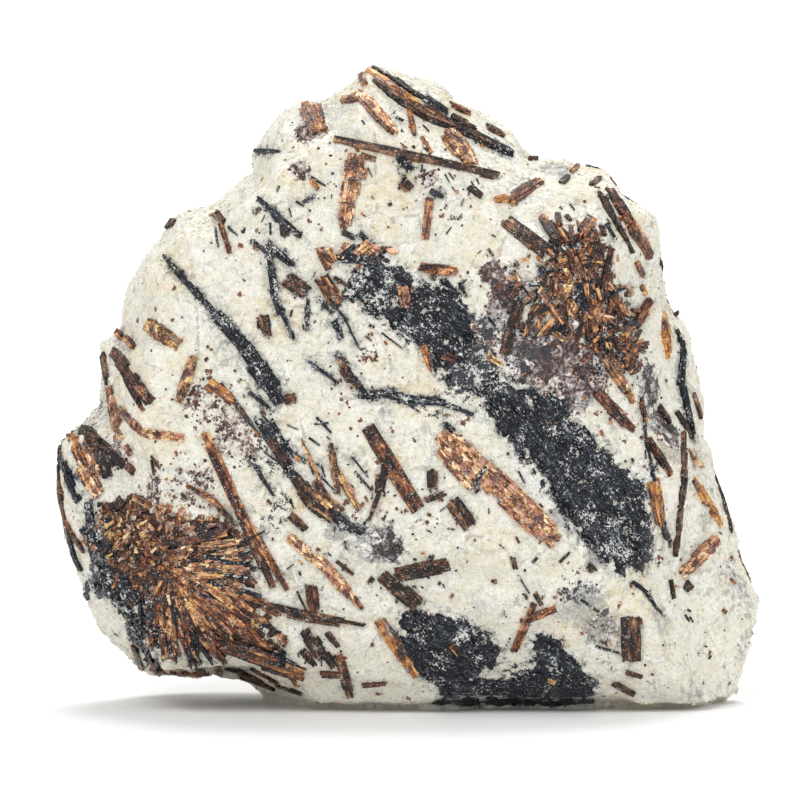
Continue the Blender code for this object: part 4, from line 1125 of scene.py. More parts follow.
# %% The left spray
LEFT_STAR = (-30.2, 17.0)
LEFT_FANS = {
    RED: [
        Fan(LEFT_STAR, (-62, -14), (0.5, 9.0), (3.0, 7.0), (0.4, 1.2), 90),
        Fan(LEFT_STAR, (-110, -55), (1.0, 8.0), (2.0, 5.0), (0.4, 1.0), 70),
        Fan(LEFT_STAR, (0, 360), (0.0, 4.5), (0.6, 2.0), (0.3, 0.7), 90, stray=50),
        Fan((-34.5, 21.0), (0, 360), (0.0, 5.0), (0.9, 3.2), (0.25, 0.7), 95, shade=0.5, stray=60),
    ],
    GOLD: [
        Fan(LEFT_STAR, (-60, 20), (1.0, 8.0), (1.0, 3.5), (0.3, 0.8), 50, shade=0.6),
        Fan((-36.0, 20.4), (0, 360), (0.0, 3.4), (0.6, 1.6), (0.3, 0.8), 40, shade=0.75, stray=80),
        Fan(LEFT_STAR, (-110, -60), (3.0, 9.0), (0.8, 2.4), (0.3, 0.7), 22, shade=0.45),
    ],
    BRONZE: [
        Fan(LEFT_STAR, (-60, 10), (1.0, 9.0), (1.0, 4.0), (0.4, 1.0), 55, shade=0.5),
        Fan(LEFT_STAR, (40, 150), (2.0, 8.0), (0.9, 2.6), (0.3, 0.8), 42, shade=0.5, stray=80),
        Fan((-40.0, 30.0), (0, 360), (0.0, 2.0), (0.5, 1.4), (0.4, 0.9), 8, shade=0.5, stray=80),
    ],
    BLACK: [
        Fan(LEFT_STAR, (-110, 25), (0.5, 10.0), (1.5, 5.0), (0.2, 0.5), 110, shade=0.1),
        Fan((-38.8, 18.0), (60, 120), (-5.0, 4.5), (0.5, 1.4), (0.4, 1.0), 60, shade=0.5, stray=70),
        Fan((-38.4, 15.6), (-62, -48), (0.0, 8.0), (1.0, 3.2), (0.3, 0.8), 44, shade=0.3, stray=14),
        Fan((-33.2, 10.5), (0, 360), (0.0, 3.2), (0.8, 2.4), (0.3, 0.6), 20, shade=0.5, stray=60),
    ],
}
LEFT_BLADES = {
    RED: [
        Blade(1.0, (-31.1, 20.2), (-27.0, 20.6), (-22.4, 21.7), tip=(0.6, 0.8), shade=(0.1, 0.35),
              proud=0.55),
        Blade(1.3, (-29.5, 16.2), (-23.4, 11.8), (-17.1, 7.1), block=2.4, shade=(0.6, 0.7), proud=0.5),
        Blade(1.4, (-29.2, 15.4), (-25.2, 12.2), (-21.9, 9.1), block=2.0, shade=(0.65, 0.6), proud=0.55),
        Blade(2.5, (-26.5, 10.3), (-23.1, 7.8), (-12.9, 3.9), tip=(0.4, 0.8), block=2.8,
              shade=(0.35, 0.5), proud=0.5),
        Blade(1.0, (-26.7, 9.6), (-23.0, 5.3), tip=0.5, shade=(0.35, 0.5), proud=0.5),
        Blade(0.9, (-29.5, 3.9), (-25.4, 3.5), shade=(0.5, 0.55)),
        Blade(1.0, (-34.7, 7.3), (-33.6, 3.4), tip=0.5, shade=(0.2, 0.35)),
        Blade(1.0, (-29.6, 8.2), (-28.8, 6.0), tip=0.5, shade=(0.6, 0.5)),
        Blade(0.8, (-27.9, 27.7), (-24.6, 25.9), (-21.4, 22.4), tip=0.4, shade=(0.65, 0.35)),
        Blade(0.9, (-34.5, 26.1), (-32.2, 25.0), shade=(0.8, 0.7)),
        Blade(0.9, (-19.8, 4.4), (-16.2, 2.5), tip=0.4, shade=(0.1, 0.2)),
        Blade(1.2, (-31.4, 14.4), (-30.6, 8.8), tip=0.4, shade=(0.45, 0.4)),
        Blade(0.9, (-32.6, 6.4), (-31.8, 3.8), tip=0.5, shade=(0.5, 0.8), proud=0.5),
        Blade(0.8, (-29.6, 6.2), (-28.8, 3.7), tip=0.5, shade=(0.3, 0.5), proud=0.5),
        Blade(0.9, (-27.4, 5.8), (-25.8, 3.9), tip=0.5, shade=(0.2, 0.4), proud=0.5),
        Blade(0.7, (-25.0, 6.0), (-23.6, 3.7), tip=0.5, shade=(0.6, 0.5), proud=0.5),
    ],
    GOLD: [
        Blade(0.8, (-26.2, 20.0), (-21.0, 20.4), shade=0.6, proud=0.45),
        Blade(0.9, (-23.5, 17.1), (-20.3, 17.2), shade=(0.5, 0.4), proud=0.45),
        Blade(0.9, (-30.6, 6.2), (-30.4, 3.6), shade=(0.6, 0.5)),
        Blade(0.8, (-28.2, 13.6), (-25.4, 10.2), tip=0.4, shade=(0.75, 0.6), proud=0.65),
        Blade(0.7, (-26.3, 22.8), (-25.8, 23.5), shade=0.7),
        Blade(0.7, (-25.2, 22.9), (-24.6, 23.7), shade=0.7),
    ],
    BLACK: [
        Blade(0.8, (-26.0, 18.8), (-19.8, 17.7), tip=0.4, shade=(0.0, 0.1), proud=0.45),
        Blade(0.9, (-36.1, 16.0), (-33.6, 12.8), shade=0.3, proud=0.6),
        Blade(0.5, (-36.1, 15.8), (-34.7, 16.5), shade=0.2, proud=0.5),
        Blade(0.8, (-15.7, 6.6), (-15.6, 4.3), shade=0.0, proud=0.75),
        Blade(0.5, (-31.5, 5.8), (-31.5, 3.4), shade=0.0),
        Blade(0.4, (-27.2, 9.6), (-24.6, 5.2), shade=0.0, proud=0.6),
    ],
}
LEFT_SHEET = [
    Mass((-38.9, 25.1), (-35.0, 26.6), (-30.0, 23.6), (-24.4, 23.1), (-20.6, 21.4), (-19.8, 16.8),
         (-19.5, 13.3), (-15.8, 8.0), (-15.0, 6.0), (-19.9, 6.4), (-30.1, 6.6), (-33.9, 8.0),
         (-37.0, 13.0), (-39.6, 19.4), fibre=-40.0, broken=0.45, proud=0.1, tone=0.35),
]
print("left_spray has", sum(fan.count for fans in LEFT_FANS.values() for fan in fans), "random blades")

# %% [markdown]
# The right spray hangs down from its middle, and short blades lie every way below it.

# %% The right spray
RIGHT_STAR = (21.2, 56.2)
RIGHT_FANS = {
    RED: [
        Fan(RIGHT_STAR, (0, 360), (0.0, 3.4), (0.8, 2.4), (0.3, 0.8), 70, shade=0.45, stray=30),
        Fan(RIGHT_STAR, (225, 315), (2.0, 9.0), (1.2, 3.6), (0.3, 0.9), 80, shade=0.5, stray=22),
        Fan((24.0, 46.4), (0, 360), (0.0, 2.4), (0.6, 2.0), (0.3, 0.9), 44, shade=0.4, stray=50),
        Fan((27.6, 44.4), (0, 360), (0.0, 2.0), (0.6, 2.2), (0.3, 0.9), 40, shade=0.4, stray=50),
        Fan((27.6, 41.8), (0, 360), (0.0, 1.0), (0.6, 1.4), (0.3, 0.8), 12, shade=0.6, stray=50),
    ],
    GOLD: [
        Fan(RIGHT_STAR, (180, 330), (0.5, 8.5), (0.6, 2.0), (0.3, 0.7), 24, stray=40, shade=0.6),
    ],
    BRONZE: [
        Fan(RIGHT_STAR, (200, 330), (0.5, 8.5), (0.6, 2.2), (0.3, 0.9), 24, stray=40, shade=0.45),
    ],
    BLACK: [
        Fan(RIGHT_STAR, (210, 320), (1.0, 9.5), (0.8, 2.5), (0.3, 0.7), 56, stray=40, shade=0.15),
        Fan(RIGHT_STAR, (60, 200), (0.0, 3.0), (0.6, 1.6), (0.3, 0.6), 20, stray=40, shade=0.35),
        Fan((25.8, 45.2), (0, 360), (0.0, 3.6), (0.6, 1.8), (0.3, 0.7), 40, stray=50, shade=0.35),
    ],
}
RIGHT_BLADES = {
    RED: [
        Blade(1.1, (16.8, 61.5), (18.8, 58.2), tip=(0.5, 0.8), shade=(0.55, 0.4), proud=0.5),
        Blade(0.7, (18.8, 61.9), (19.2, 60.0), shade=(0.55, 0.3), proud=0.5),
        Blade(0.5, (19.9, 61.6), (20.6, 60.7), shade=0.3),
        Blade(1.5, (23.2, 61.2), (21.5, 58.6), tip=(0.8, 0.6), shade=(0.8, 0.5), proud=0.6),
        Blade(0.5, (24.2, 58.5), (22.5, 58.2), shade=(0.6, 0.5), proud=0.5),
        Blade(0.7, (24.4, 60.3), (24.8, 58.9), shade=0.3),
        Blade(0.9, (25.5, 57.5), (24.4, 52.1), (24.9, 48.8), tip=0.4, shade=0.1, proud=0.5),
        Blade(1.0, (18.4, 53.8), (18.2, 51.2), shade=(0.6, 0.5), proud=0.5),
        Blade(1.1, (16.6, 51.9), (17.7, 50.6), (19.8, 47.7), shade=(0.6, 0.7), proud=0.55),
        Blade(1.3, (25.6, 51.8), (27.2, 48.6), tip=0.5, shade=(0.35, 0.5), proud=0.5),
        Blade(0.7, (30.6, 51.3), (28.7, 48.2), (28.2, 47.3), block=0.4, shade=(0.5, 0.6), proud=0.45),
        Blade(1.3, (20.0, 57.2), (21.6, 53.4), tip=0.4, shade=(0.5, 0.3), proud=0.55),
    ],
    GOLD: [
        Blade(1.2, (20.7, 54.0), (18.9, 50.3), shade=(0.5, 0.6), proud=0.6),
        Blade(1.4, (24.4, 50.6), (23.2, 48.3), shade=(0.45, 0.5), proud=0.55),
        Blade(0.6, (21.4, 50.4), (20.6, 48.8), shade=0.6, proud=0.5),
    ],
    BLACK: [
        Blade(0.4, (25.0, 60.6), (26.1, 58.6), shade=0.0),
        Blade(1.6, (20.3, 50.8), (22.6, 53.4), tip=0.4, shade=0.2, proud=0.45),
    ],
}
RIGHT_SHEET = [
    Mass((18.0, 60.0), (22.5, 60.4), (24.9, 58.0), (25.0, 54.8), (26.6, 51.0), (28.2, 46.3),
         (26.0, 44.8), (23.1, 46.2), (20.3, 49.0), (18.0, 53.5), fibre=-60.0, broken=0.5, proud=0.05),
]
print("right_spray has", sum(fan.count for fans in RIGHT_FANS.values() for fan in fans), "random blades")

# %% [markdown]
# The back has a spray as well, guessed in the same style. Then all three are grown, one piece for each
# mineral.

# %% The spray behind
BACK_STAR = (9.6, 41.2)
BACK_FANS = {
    RED: [
        Fan(BACK_STAR, (5, 95), (0.5, 9.0), (2.0, 6.0), (0.4, 1.2), 80),
        Fan(BACK_STAR, (220, 330), (0.5, 6.0), (1.5, 4.5), (0.4, 1.1), 50),
        Fan(BACK_STAR, (0, 360), (0.0, 4.5), (0.6, 2.0), (0.3, 0.8), 70, stray=50),
    ],
    GOLD: [
        Fan(BACK_STAR, (0, 90), (2.0, 8.0), (1.0, 3.0), (0.3, 0.8), 24, shade=0.5),
        Fan((6.6, 43.6), (0, 360), (0.0, 2.4), (0.4, 1.0), (0.4, 0.8), 24, shade=0.6, stray=80),
    ],
    BLACK: [
        Fan(BACK_STAR, (0, 100), (2.0, 10.0), (1.0, 4.0), (0.3, 0.6), 36, shade=0.2),
        Fan((7.0, 38.4), (0, 360), (0.0, 4.0), (0.5, 1.6), (0.3, 0.7), 36, shade=0.4, stray=60),
    ],
}
BACK_BLADES = {
    RED: [
        Blade(1.5, (10.0, 42.0), (19.0, 50.0), tip=0.4, shade=(0.4, 0.6)),
        Blade(1.4, (10.0, 42.6), (13.6, 53.6), tip=0.4, shade=(0.5, 0.6)),
        Blade(1.6, (10.8, 41.6), (22.0, 43.2), tip=0.4, shade=(0.3, 0.6)),
        Blade(1.4, (10.6, 41.0), (18.8, 33.6), tip=0.4, shade=(0.5, 0.8)),
        Blade(1.5, (9.6, 41.4), (8.2, 31.2), tip=0.4, shade=(0.4, 0.5)),
        Blade(1.4, (9.8, 41.6), (0.8, 47.2), tip=0.4, shade=(0.6, 0.4)),
    ],
}
BACK_SHEET = [
    Mass((3.0, 46.0), (9.0, 51.0), (17.0, 49.0), (18.0, 42.0), (15.0, 36.0), (8.0, 34.0), (4.0, 39.0),
         fibre=30.0, broken=0.5, proud=0.1, tone=0.35),
]
SPRAYS = {
    "left_spray": (FRONT, LEFT_FANS, LEFT_BLADES, LEFT_SHEET),
    "right_spray": (FRONT, RIGHT_FANS, RIGHT_BLADES, RIGHT_SHEET),
    "back_spray": (BACK, BACK_FANS, BACK_BLADES, BACK_SHEET),
}
for number, (node, (view, fans, chosen, masses)) in enumerate(SPRAYS.items()):
    chance = random.Random(400 + number)
    for finish in (*fans, DARK):
        blades = list(chosen.get(finish, []))
        for fan in fans.get(finish, []):
            blades += fan.blades(chance)
        sheets = masses if finish == DARK else []
        piece = grown_together(f"{node}_{finish}_laths", view, blades, sheets, 410 + number)
        dressed.append((piece, finish, [node] if finish == RED else []))
        print(piece.name, "has", len(blades), "blades")

# %% [markdown]
# ## Small things by chance
# Splinters, specks and needles lie all over a broken face, and the sides and the back have crystals as
# the front has. A seeded random generator lays them, so every run gives the same rock.

# %% Scattered splinters
CLUSTERED = 0.6
CLUSTER_SPREAD = 2.4
PER_CLUSTER = 12
FEWEST_CLUSTERS = 4
HEADING_SPREAD = 22
SCATTER_TONES = (0.2, 0.8)
SCATTER_PROUD = 0.15
SCATTER_FACING = 0.6

# Two opposite corners of each area, across and up in mm.
WHOLE_FRONT = (-42, 3), (42, 76)
INNER_FRONT = (-40, 5), (40, 72)
WHOLE_BACK = (-40, 3), (40, 74)
INNER_BACK = (-38, 4), (38, 72)
WHOLE_SIDE = (-13, 3), (14, 70)
INNER_SIDE = (-12, 4), (14, 68)
WHOLE_TOP = (-32, -10), (32, 14)


def place_in(area, chance):
    low, high = area
    return Vector((chance.uniform(low[0], high[0]), chance.uniform(low[1], high[1])))


def scattered(area, count, widths, lengths, headings, seed):
    """Blades at random places of an area, many of them in clusters, that lean about the given headings."""
    chance = random.Random(seed)
    cluster_count = max(FEWEST_CLUSTERS, count // PER_CLUSTER)
    clusters = [place_in(area, chance) for number in range(cluster_count)]
    made = []
    for number in range(count):
        first = place_in(area, chance)
        if chance.random() < CLUSTERED:
            spread_out = Vector((chance.gauss(0, CLUSTER_SPREAD), chance.gauss(0, CLUSTER_SPREAD)))
            first = chance.choice(clusters) + spread_out
        angle = math.radians(chance.choice(headings) + chance.gauss(0, HEADING_SPREAD))
        last = first + Vector((math.cos(angle), math.sin(angle))) * chance.uniform(*lengths)
        shade = (chance.uniform(*SCATTER_TONES), chance.uniform(*SCATTER_TONES))
        made.append(Blade(chance.uniform(*widths), first, last, shade=shade, proud=SCATTER_PROUD,
                          least_facing=SCATTER_FACING))
    return made


SCATTER = [
    ("splinters_front_black", FRONT, BLACK, WHOLE_FRONT, 400, (0.1, 0.24), (0.3, 1.4), (-50, 70)),
    ("needles_front_black", FRONT, BLACK, INNER_FRONT, 60, (0.15, 0.35), (1.4, 4.0), (-50, -40)),
    ("chips_front_brown", FRONT, DARK, INNER_FRONT, 40, (0.25, 0.8), (0.6, 2.4), (-50, 60)),
    ("splinters_front_brown", FRONT, RED, WHOLE_FRONT, 280, (0.2, 0.45), (0.3, 1.0), (-50, 60)),
    ("splinters_front_amber", FRONT, AMBER, WHOLE_FRONT, 70, (0.2, 0.4), (0.4, 1.6), (-55, 100)),
    ("blades_back_brown", BACK, RED, INNER_BACK, 60, (0.6, 2.0), (2.0, 9.0), (-50, 60)),
    ("blades_back_dark", BACK, DARK, INNER_BACK, 46, (0.6, 2.2), (2.0, 8.0), (-40, 70)),
    ("blades_back_black", BACK, BLACK, INNER_BACK, 44, (0.4, 1.8), (2.0, 12.0), (-50, 40)),
    ("blades_back_bronze", BACK, BRONZE, INNER_BACK, 26, (0.8, 2.4), (2.0, 6.0), (-45, 60)),
    ("blades_back_amber", BACK, AMBER, INNER_BACK, 34, (0.4, 1.0), (1.5, 4.0), (-45, 80)),
    ("splinters_back_black", BACK, BLACK, WHOLE_BACK, 220, (0.15, 0.35), (0.3, 1.6), (-50, 70)),
    ("splinters_back_brown", BACK, RED, WHOLE_BACK, 240, (0.2, 0.45), (0.3, 1.3), (-50, 60)),
    ("blades_left_brown", LEFT, RED, INNER_SIDE, 40, (0.5, 1.9), (2.0, 7.0), (50, 110)),
    ("blades_left_black", LEFT, BLACK, INNER_SIDE, 30, (0.4, 1.6), (2.0, 9.0), (60, 110)),
    ("blades_left_bronze", LEFT, BRONZE, INNER_SIDE, 12, (0.6, 1.8), (2.0, 5.0), (50, 120)),
    ("splinters_left", LEFT, RED, WHOLE_SIDE, 110, (0.15, 0.4), (0.3, 1.3), (50, 110)),
    ("blades_right_brown", RIGHT, RED, INNER_SIDE, 40, (0.5, 1.9), (2.0, 7.0), (70, 120)),
    ("blades_right_black", RIGHT, BLACK, INNER_SIDE, 28, (0.4, 1.6), (2.0, 9.0), (60, 110)),
    ("blades_right_bronze", RIGHT, BRONZE, INNER_SIDE, 12, (0.6, 1.8), (2.0, 5.0), (50, 120)),
    ("splinters_right", RIGHT, RED, WHOLE_SIDE, 110, (0.15, 0.4), (0.3, 1.3), (50, 110)),
    ("blades_top_dark", TOP, DARK, WHOLE_TOP, 46, (0.5, 1.7), (1.5, 6.0), (-30, 40)),
    ("blades_top_amber", TOP, AMBER, WHOLE_TOP, 24, (0.4, 1.0), (1.0, 3.5), (-30, 60)),
    ("blades_top_black", TOP, BLACK, WHOLE_TOP, 24, (0.4, 1.4), (1.0, 5.0), (-30, 60)),
]
for number, (name, view, finish, area, count, widths, lengths, headings) in enumerate(SCATTER):
    blades = scattered(area, count, widths, lengths, headings, 500 + number)
    dressed.append((crystals(name, view, blades, 600 + number), finish, []))
print(len(SCATTER), "kinds of splinters laid")

# %% [markdown]
# ## Relief of the broken feldspar
# Feldspar of this kind is sugary: a mass of small grains that breaks in steps and hollows. The even skin
# is moved in and out along its normals by three sizes of noise, and creases run where a fourth one
# crosses zero, most of all on the rough back. Beside a crystal it is only moved in, so that no bump grows
# over the crystal. Its flat underside stays flat, and nothing leaves the block's box, so the size stays
# true.

# %% Move the skin
RELIEF = [(4.0, 0.24), (1.7, 0.16), (0.85, 0.12)]
CREASE_SIZE = 7.0
CREASE_DEPTH = 0.5
CREASE_SHARE = 0.22
ROUGHER_BEHIND = 14.0
BASE_BAND = 0.5 * MM
FACING_DOWN = -0.7
BESIDE = 0.6 * MM
SUNK_BESIDE = 0.05


def tree_of(things):
    """A search tree over the meshes of these objects."""
    together = bmesh.new()
    for thing in things:
        together.from_mesh(thing.data)
    tree = BVHTree.FromBMesh(together)
    together.free()
    return tree


taken = tree_of(thing for thing, _, _ in dressed)
skin.normal_update()
moves = []
for vertex in skin.verts:
    place = vertex.co / MM
    height = sum(noise.noise(place / size) * rise for size, rise in RELIEF)
    rough = min(max(0.6 + place.y / ROUGHER_BEHIND, 0.15), 1.0)
    crease = 1.0 - abs(noise.noise(place / CREASE_SIZE)) / CREASE_SHARE
    height -= CREASE_DEPTH * rough * max(crease, 0.0) ** 2
    _, _, _, beside = taken.find_nearest(vertex.co, BESIDE)
    if beside is not None:
        height = min(height, 0.0) - SUNK_BESIDE
    moves.append(vertex.normal * height * MM)
for vertex, move in zip(skin.verts, moves):
    if vertex.co.z < box_low.z + BASE_BAND and vertex.normal.z < FACING_DOWN:
        vertex.co.z = box_low.z
        continue
    vertex.co += move
    keep_in_box(vertex)
bmesh.ops.recalc_face_normals(skin, faces=skin.faces)
skin.to_mesh(rock.data)
skin.free()
print("the rock has", len(rock.data.polygons), "faces")

# %% [markdown]
# ## Stains and dust
# Colour in the rock isn't even. Purple-brown grains gather in clouds, black dust surrounds the black
# masses, grey and smoky quartz-like patches show between, and iron stains run yellow. Each is a strength
# from 0 to 1 kept at the corners of the mesh, in two layers: "dust" holds purple, black and rust, and
# "haze" holds grey, yellow and smoke. Each cloud is a row: across and up on the display side, its radius
# in mm and its strength.

# %% Paint the layers
TINY = ("splinters", "needles", "chips")
CLOUD_REACH = 1.3
CLOUD_CORE = 1.5
BEHIND = 6.0
CLOSE = 1.1
AROUND = 3.0
PURPLE_CLOUDS = [
    (-13.6, 67.2, 1.2, 0.9), (-12.3, 72.5, 1.8, 0.9), (2.8, 66.2, 1.2, 0.7), (23.4, 57.3, 1.6, 0.9),
    (10.7, 54.2, 1.3, 0.8), (12.6, 52.0, 2.3, 0.7), (19.3, 42.8, 5.2, 0.62), (23.1, 40.9, 2.2, 0.7),
    (30.7, 39.4, 1.6, 0.35), (32.6, 34.6, 2.2, 0.45), (-26.3, 38.4, 2.0, 0.6), (-24.4, 36.5, 2.2, 0.6),
    (-21.8, 34.6, 2.4, 0.6), (-19.9, 32.0, 2.0, 0.6), (-23.1, 32.7, 1.6, 0.55), (-40.7, 37.3, 1.0, 1.0),
    (-2.8, 20.0, 2.0, 0.3), (-37.0, 31.6, 2.0, 0.6), (-27.0, 28.0, 2.6, 0.55), (-32.0, 27.0, 2.0, 0.6),
    (14.0, 46.0, 3.0, 0.6), (9.5, 46.0, 2.0, 0.6), (-5.0, 44.0, 1.4, 0.5), (6.0, 61.0, 1.2, 0.4),
    (20.5, 15.5, 1.4, 0.4),
]
BLACK_CLOUDS = [
    (7.9, 42.2, 3.4, 0.8), (9.8, 47.2, 2.0, 0.6), (29.4, 18.1, 1.6, 0.7), (-9.8, 51.0, 1.8, 0.5),
    (3.5, 37.6, 1.6, 0.5), (-17.0, 30.6, 1.6, 0.6), (-5.0, 22.0, 1.2, 0.5), (-39.0, 20.0, 2.2, 0.9),
    (-38.0, 16.0, 2.2, 0.9), (15.0, 44.6, 3.6, 0.55), (26.0, 48.0, 2.0, 0.5), (-16.5, 24.0, 2.0, 0.5),
    (19.0, 30.0, 2.0, 0.5), (14.0, 4.0, 2.0, 0.6), (21.0, 14.5, 2.4, 0.5), (24.0, 9.6, 2.4, 0.42),
]
RUST_CLOUDS = [
    (-39.5, 21.5, 2.6, 0.8), (-32.0, 18.0, 7.0, 0.8), (36.4, 30.7, 1.4, 0.8), (21.5, 54.0, 4.6, 0.7),
    (-12.0, 27.0, 1.6, 0.4), (25.4, 8.2, 1.6, 0.6), (-21.0, 10.0, 5.0, 0.5), (30.0, 43.0, 1.0, 0.3),
    (6.0, 70.0, 1.8, 0.5),
]
SMOKE_CLOUDS = [
    (19.3, 42.8, 5.0, 0.95), (15.0, 45.5, 3.0, 0.8), (23.1, 40.9, 2.2, 0.9), (30.4, 40.2, 2.2, 0.95),
    (32.6, 34.6, 2.4, 0.8), (12.6, 52.0, 2.3, 0.8), (10.7, 54.2, 1.3, 0.9), (-2.8, 20.0, 2.2, 0.8),
    (24.4, 9.9, 2.4, 0.5), (-36.5, 32.0, 1.6, 0.5), (9.0, 47.0, 2.2, 0.6),
]
GREY_CLOUDS = [
    (22.3, 12.2, 3.0, 0.75), (33.0, 32.0, 1.8, 0.9), (19.5, 24.0, 1.6, 0.8), (24.0, 19.0, 1.6, 0.9),
    (18.7, 67.5, 2.2, 0.7), (24.4, 9.9, 2.6, 0.7), (11.5, 49.1, 1.8, 0.9), (-3.8, 20.0, 2.4, 0.8),
    (22.0, 46.0, 3.0, 0.6), (30.0, 36.0, 2.0, 0.6), (-9.0, 22.0, 1.6, 0.7), (-21.0, 24.0, 2.0, 0.6),
    (20.0, 13.0, 2.4, 0.5), (3.0, 50.0, 3.0, 0.4), (-24.0, 17.0, 3.0, 0.6),
]
YELLOW_CLOUDS = [
    (0.9, 39.8, 1.8, 0.55), (-4.1, 43.0, 1.3, 0.5), (-13.6, 25.7, 1.6, 0.7), (-2.8, 30.8, 3.0, 0.5),
    (-12.0, 36.0, 3.0, 0.35), (8.0, 20.0, 3.0, 0.35), (33.0, 8.0, 4.0, 0.4), (-30.0, 43.0, 3.0, 0.4),
    (4.0, 73.0, 3.0, 0.4), (24.0, 65.0, 3.0, 0.5), (28.0, 60.0, 3.0, 0.5),
]
corners = np.array([vertex.co for vertex in rock.data.vertices])


def cloud_strength(clouds):
    """The strength of round soft clouds at every corner of the rock."""
    total = np.zeros(len(corners))
    for across, up, radius, strength in clouds:
        centre, _ = touch(FRONT, across, up)
        if centre is None:
            continue
        distance = np.linalg.norm(corners - np.array(centre), axis=1) / (radius * CLOUD_REACH * MM)
        total = np.maximum(total, strength * np.clip(CLOUD_CORE - distance, 0.0, 1.0))
    return total


def nearness(finishes, reach):
    """1 beside crystals of these finishes, falling to 0 at the reach. The tiniest ones don't count."""
    chosen = [thing for thing, finish, _ in dressed if finish in finishes]
    tree = tree_of(thing for thing in chosen if not thing.name.startswith(TINY))
    near = np.zeros(len(corners))
    for index, vertex in enumerate(rock.data.vertices):
        _, _, _, distance = tree.find_nearest(vertex.co, reach * MM)
        if distance is not None:
            near[index] = 1 - distance / (reach * MM)
    return near


def broad(size, seed):
    """Soft noise of a size in mm, from 0 to 1, at every corner: for the sides that no photo shows."""
    shift = Vector((seed * 13.1, 0.0, 0.0))
    places = [vertex.co / (size * MM) for vertex in rock.data.vertices]
    return np.array([0.5 + 0.5 * noise.noise(place + shift) for place in places])


def add_layer(thing, name, rows):
    """Keeps three numbers for each corner of an object."""
    layer = thing.data.attributes.new(name, "FLOAT_VECTOR", "POINT")
    layer.data.foreach_set("vector", rows.astype(np.float32).ravel())


hidden = np.clip(corners[:, 1] / (BEHIND * MM) + 0.5, 0.0, 1.0)
black_near = nearness([BLACK], CLOSE)
black_around = nearness([BLACK], AROUND)
brown_near = nearness([RED, DARK, BRONZE, GOLD, AMBER], CLOSE)
purple = np.maximum(cloud_strength(PURPLE_CLOUDS), hidden * np.clip(broad(7.0, 1) * 3.2 - 1.9, 0.0, 0.9))
black = np.maximum(cloud_strength(BLACK_CLOUDS), 0.6 * black_near**1.5)
rust = np.maximum(cloud_strength(RUST_CLOUDS), 0.55 * brown_near**1.5)
grey = np.maximum(cloud_strength(GREY_CLOUDS), np.clip(broad(6.0, 2) * 2.6 - 1.5, 0.0, 0.55))
grey = np.maximum(grey, 0.6 * black_around)
yellow = np.maximum(cloud_strength(YELLOW_CLOUDS), np.clip(broad(9.0, 3) * 2.4 - 1.2, 0.0, 0.5))
smoke = np.maximum(cloud_strength(SMOKE_CLOUDS), hidden * np.clip(broad(8.0, 4) * 3.2 - 2.1, 0.0, 0.9))
stains = {"dust": np.stack([purple, black, rust], axis=1), "haze": np.stack([grey, yellow, smoke], axis=1)}
for name, rows in stains.items():
    add_layer(rock, name, rows)
    print(name, "has mean strengths", [round(float(strength), 3) for strength in rows.mean(axis=0)])

# %% [markdown]
# ## Purple-brown grains
# Small rounded grains lie in the purple clouds, and in clusters on the other sides. They stand a little
# out of the skin, as grains do that the break left whole.

# %% Brown grains
GRAINS_PER_AREA = 5.5
GRAIN_RADIUS = (0.12, 0.36)
GRAIN_DEPTH = (0.2, 0.7)
GRAIN_TONES = (0.0, 0.7)
GRAIN_GAP = 0.3 * MM
CLUSTER_SHARE = 0.9
HIDDEN_CLUSTERS = 34
HALF_WIDTHS = {FRONT: 36.0, BACK: 36.0, LEFT: 12.0, RIGHT: 12.0}
CLUSTER_HEIGHTS = (4.0, 70.0)
CLUSTER_RADII = (1.0, 2.2)


def grain_clusters(chance):
    """Where the grains gather: side, across, up and radius."""
    clusters = [(FRONT, across, up, radius) for across, up, radius, _ in PURPLE_CLOUDS]
    for number in range(HIDDEN_CLUSTERS):
        view = chance.choice((BACK, BACK, LEFT, RIGHT, FRONT))
        across = chance.uniform(-HALF_WIDTHS[view], HALF_WIDTHS[view])
        clusters.append((view, across, chance.uniform(*CLUSTER_HEIGHTS), chance.uniform(*CLUSTER_RADII)))
    return clusters


def brown_grains(name, seed):
    chance = random.Random(seed)
    surface = BVHTree.FromObject(rock, bpy.context.evaluated_depsgraph_get())
    pile = Pile()
    count = 0
    for view, across, up, radius in grain_clusters(chance):
        for number in range(round(GRAINS_PER_AREA * radius**2)):
            away = chance.gauss(0, radius * CLUSTER_SHARE), chance.gauss(0, radius * CLUSTER_SHARE)
            point, normal, _, _ = surface.ray_cast(view.start(across + away[0], up + away[1]), view.inward)
            if point is None or taken.find_nearest(point, GRAIN_GAP)[0] is not None:
                continue
            if view is not FRONT and normal.dot(FRONT.inward) < TURNED_AWAY:
                continue
            size = chance.uniform(*GRAIN_RADIUS) * MM
            sunk = point - normal * size * chance.uniform(*GRAIN_DEPTH)
            pile.crumb(sunk, size, chance.uniform(*GRAIN_TONES), chance)
            count += 1
    print(count, "brown grains")
    return pile.finish(name)


dressed.append((brown_grains("brown_grains", 31), RED, []))

# %% [markdown]
# ## Sugar
# Up close the feldspar is a heap of small glassy grains with flat faces. Bump alone would leave the
# outline smooth, so thousands of small blocks are sunk half into the skin, each at an angle of its own. A
# block has only six faces, so this stays light. Grains are kept off the crystals, but some lap over their
# edges, which seats the crystals in the rock.

# %% Sow the grains
GRAIN_COUNT = 15500
GRAIN_SIZE = (0.22, 0.55)
GRAIN_SIDES = (0.6, 1.0)
GRAIN_SUNK = (0.2, 0.45)
GRAIN_RAGGED = 0.12
CLEAR_OF_CRYSTALS = (0.12, 0.4)
FRONT_LIMIT = -0.25
UNDER_LIMIT = -0.6
CLEAR_OF_FLOOR = 1.0 * MM


def any_turn(chance):
    """A turn by any angle about any axis."""
    angle = chance.uniform(0, math.tau)
    axis = Vector((chance.gauss(0, 1), chance.gauss(0, 1), chance.gauss(0, 1) + 0.01))
    return Matrix.Rotation(angle, 4, axis.normalized())


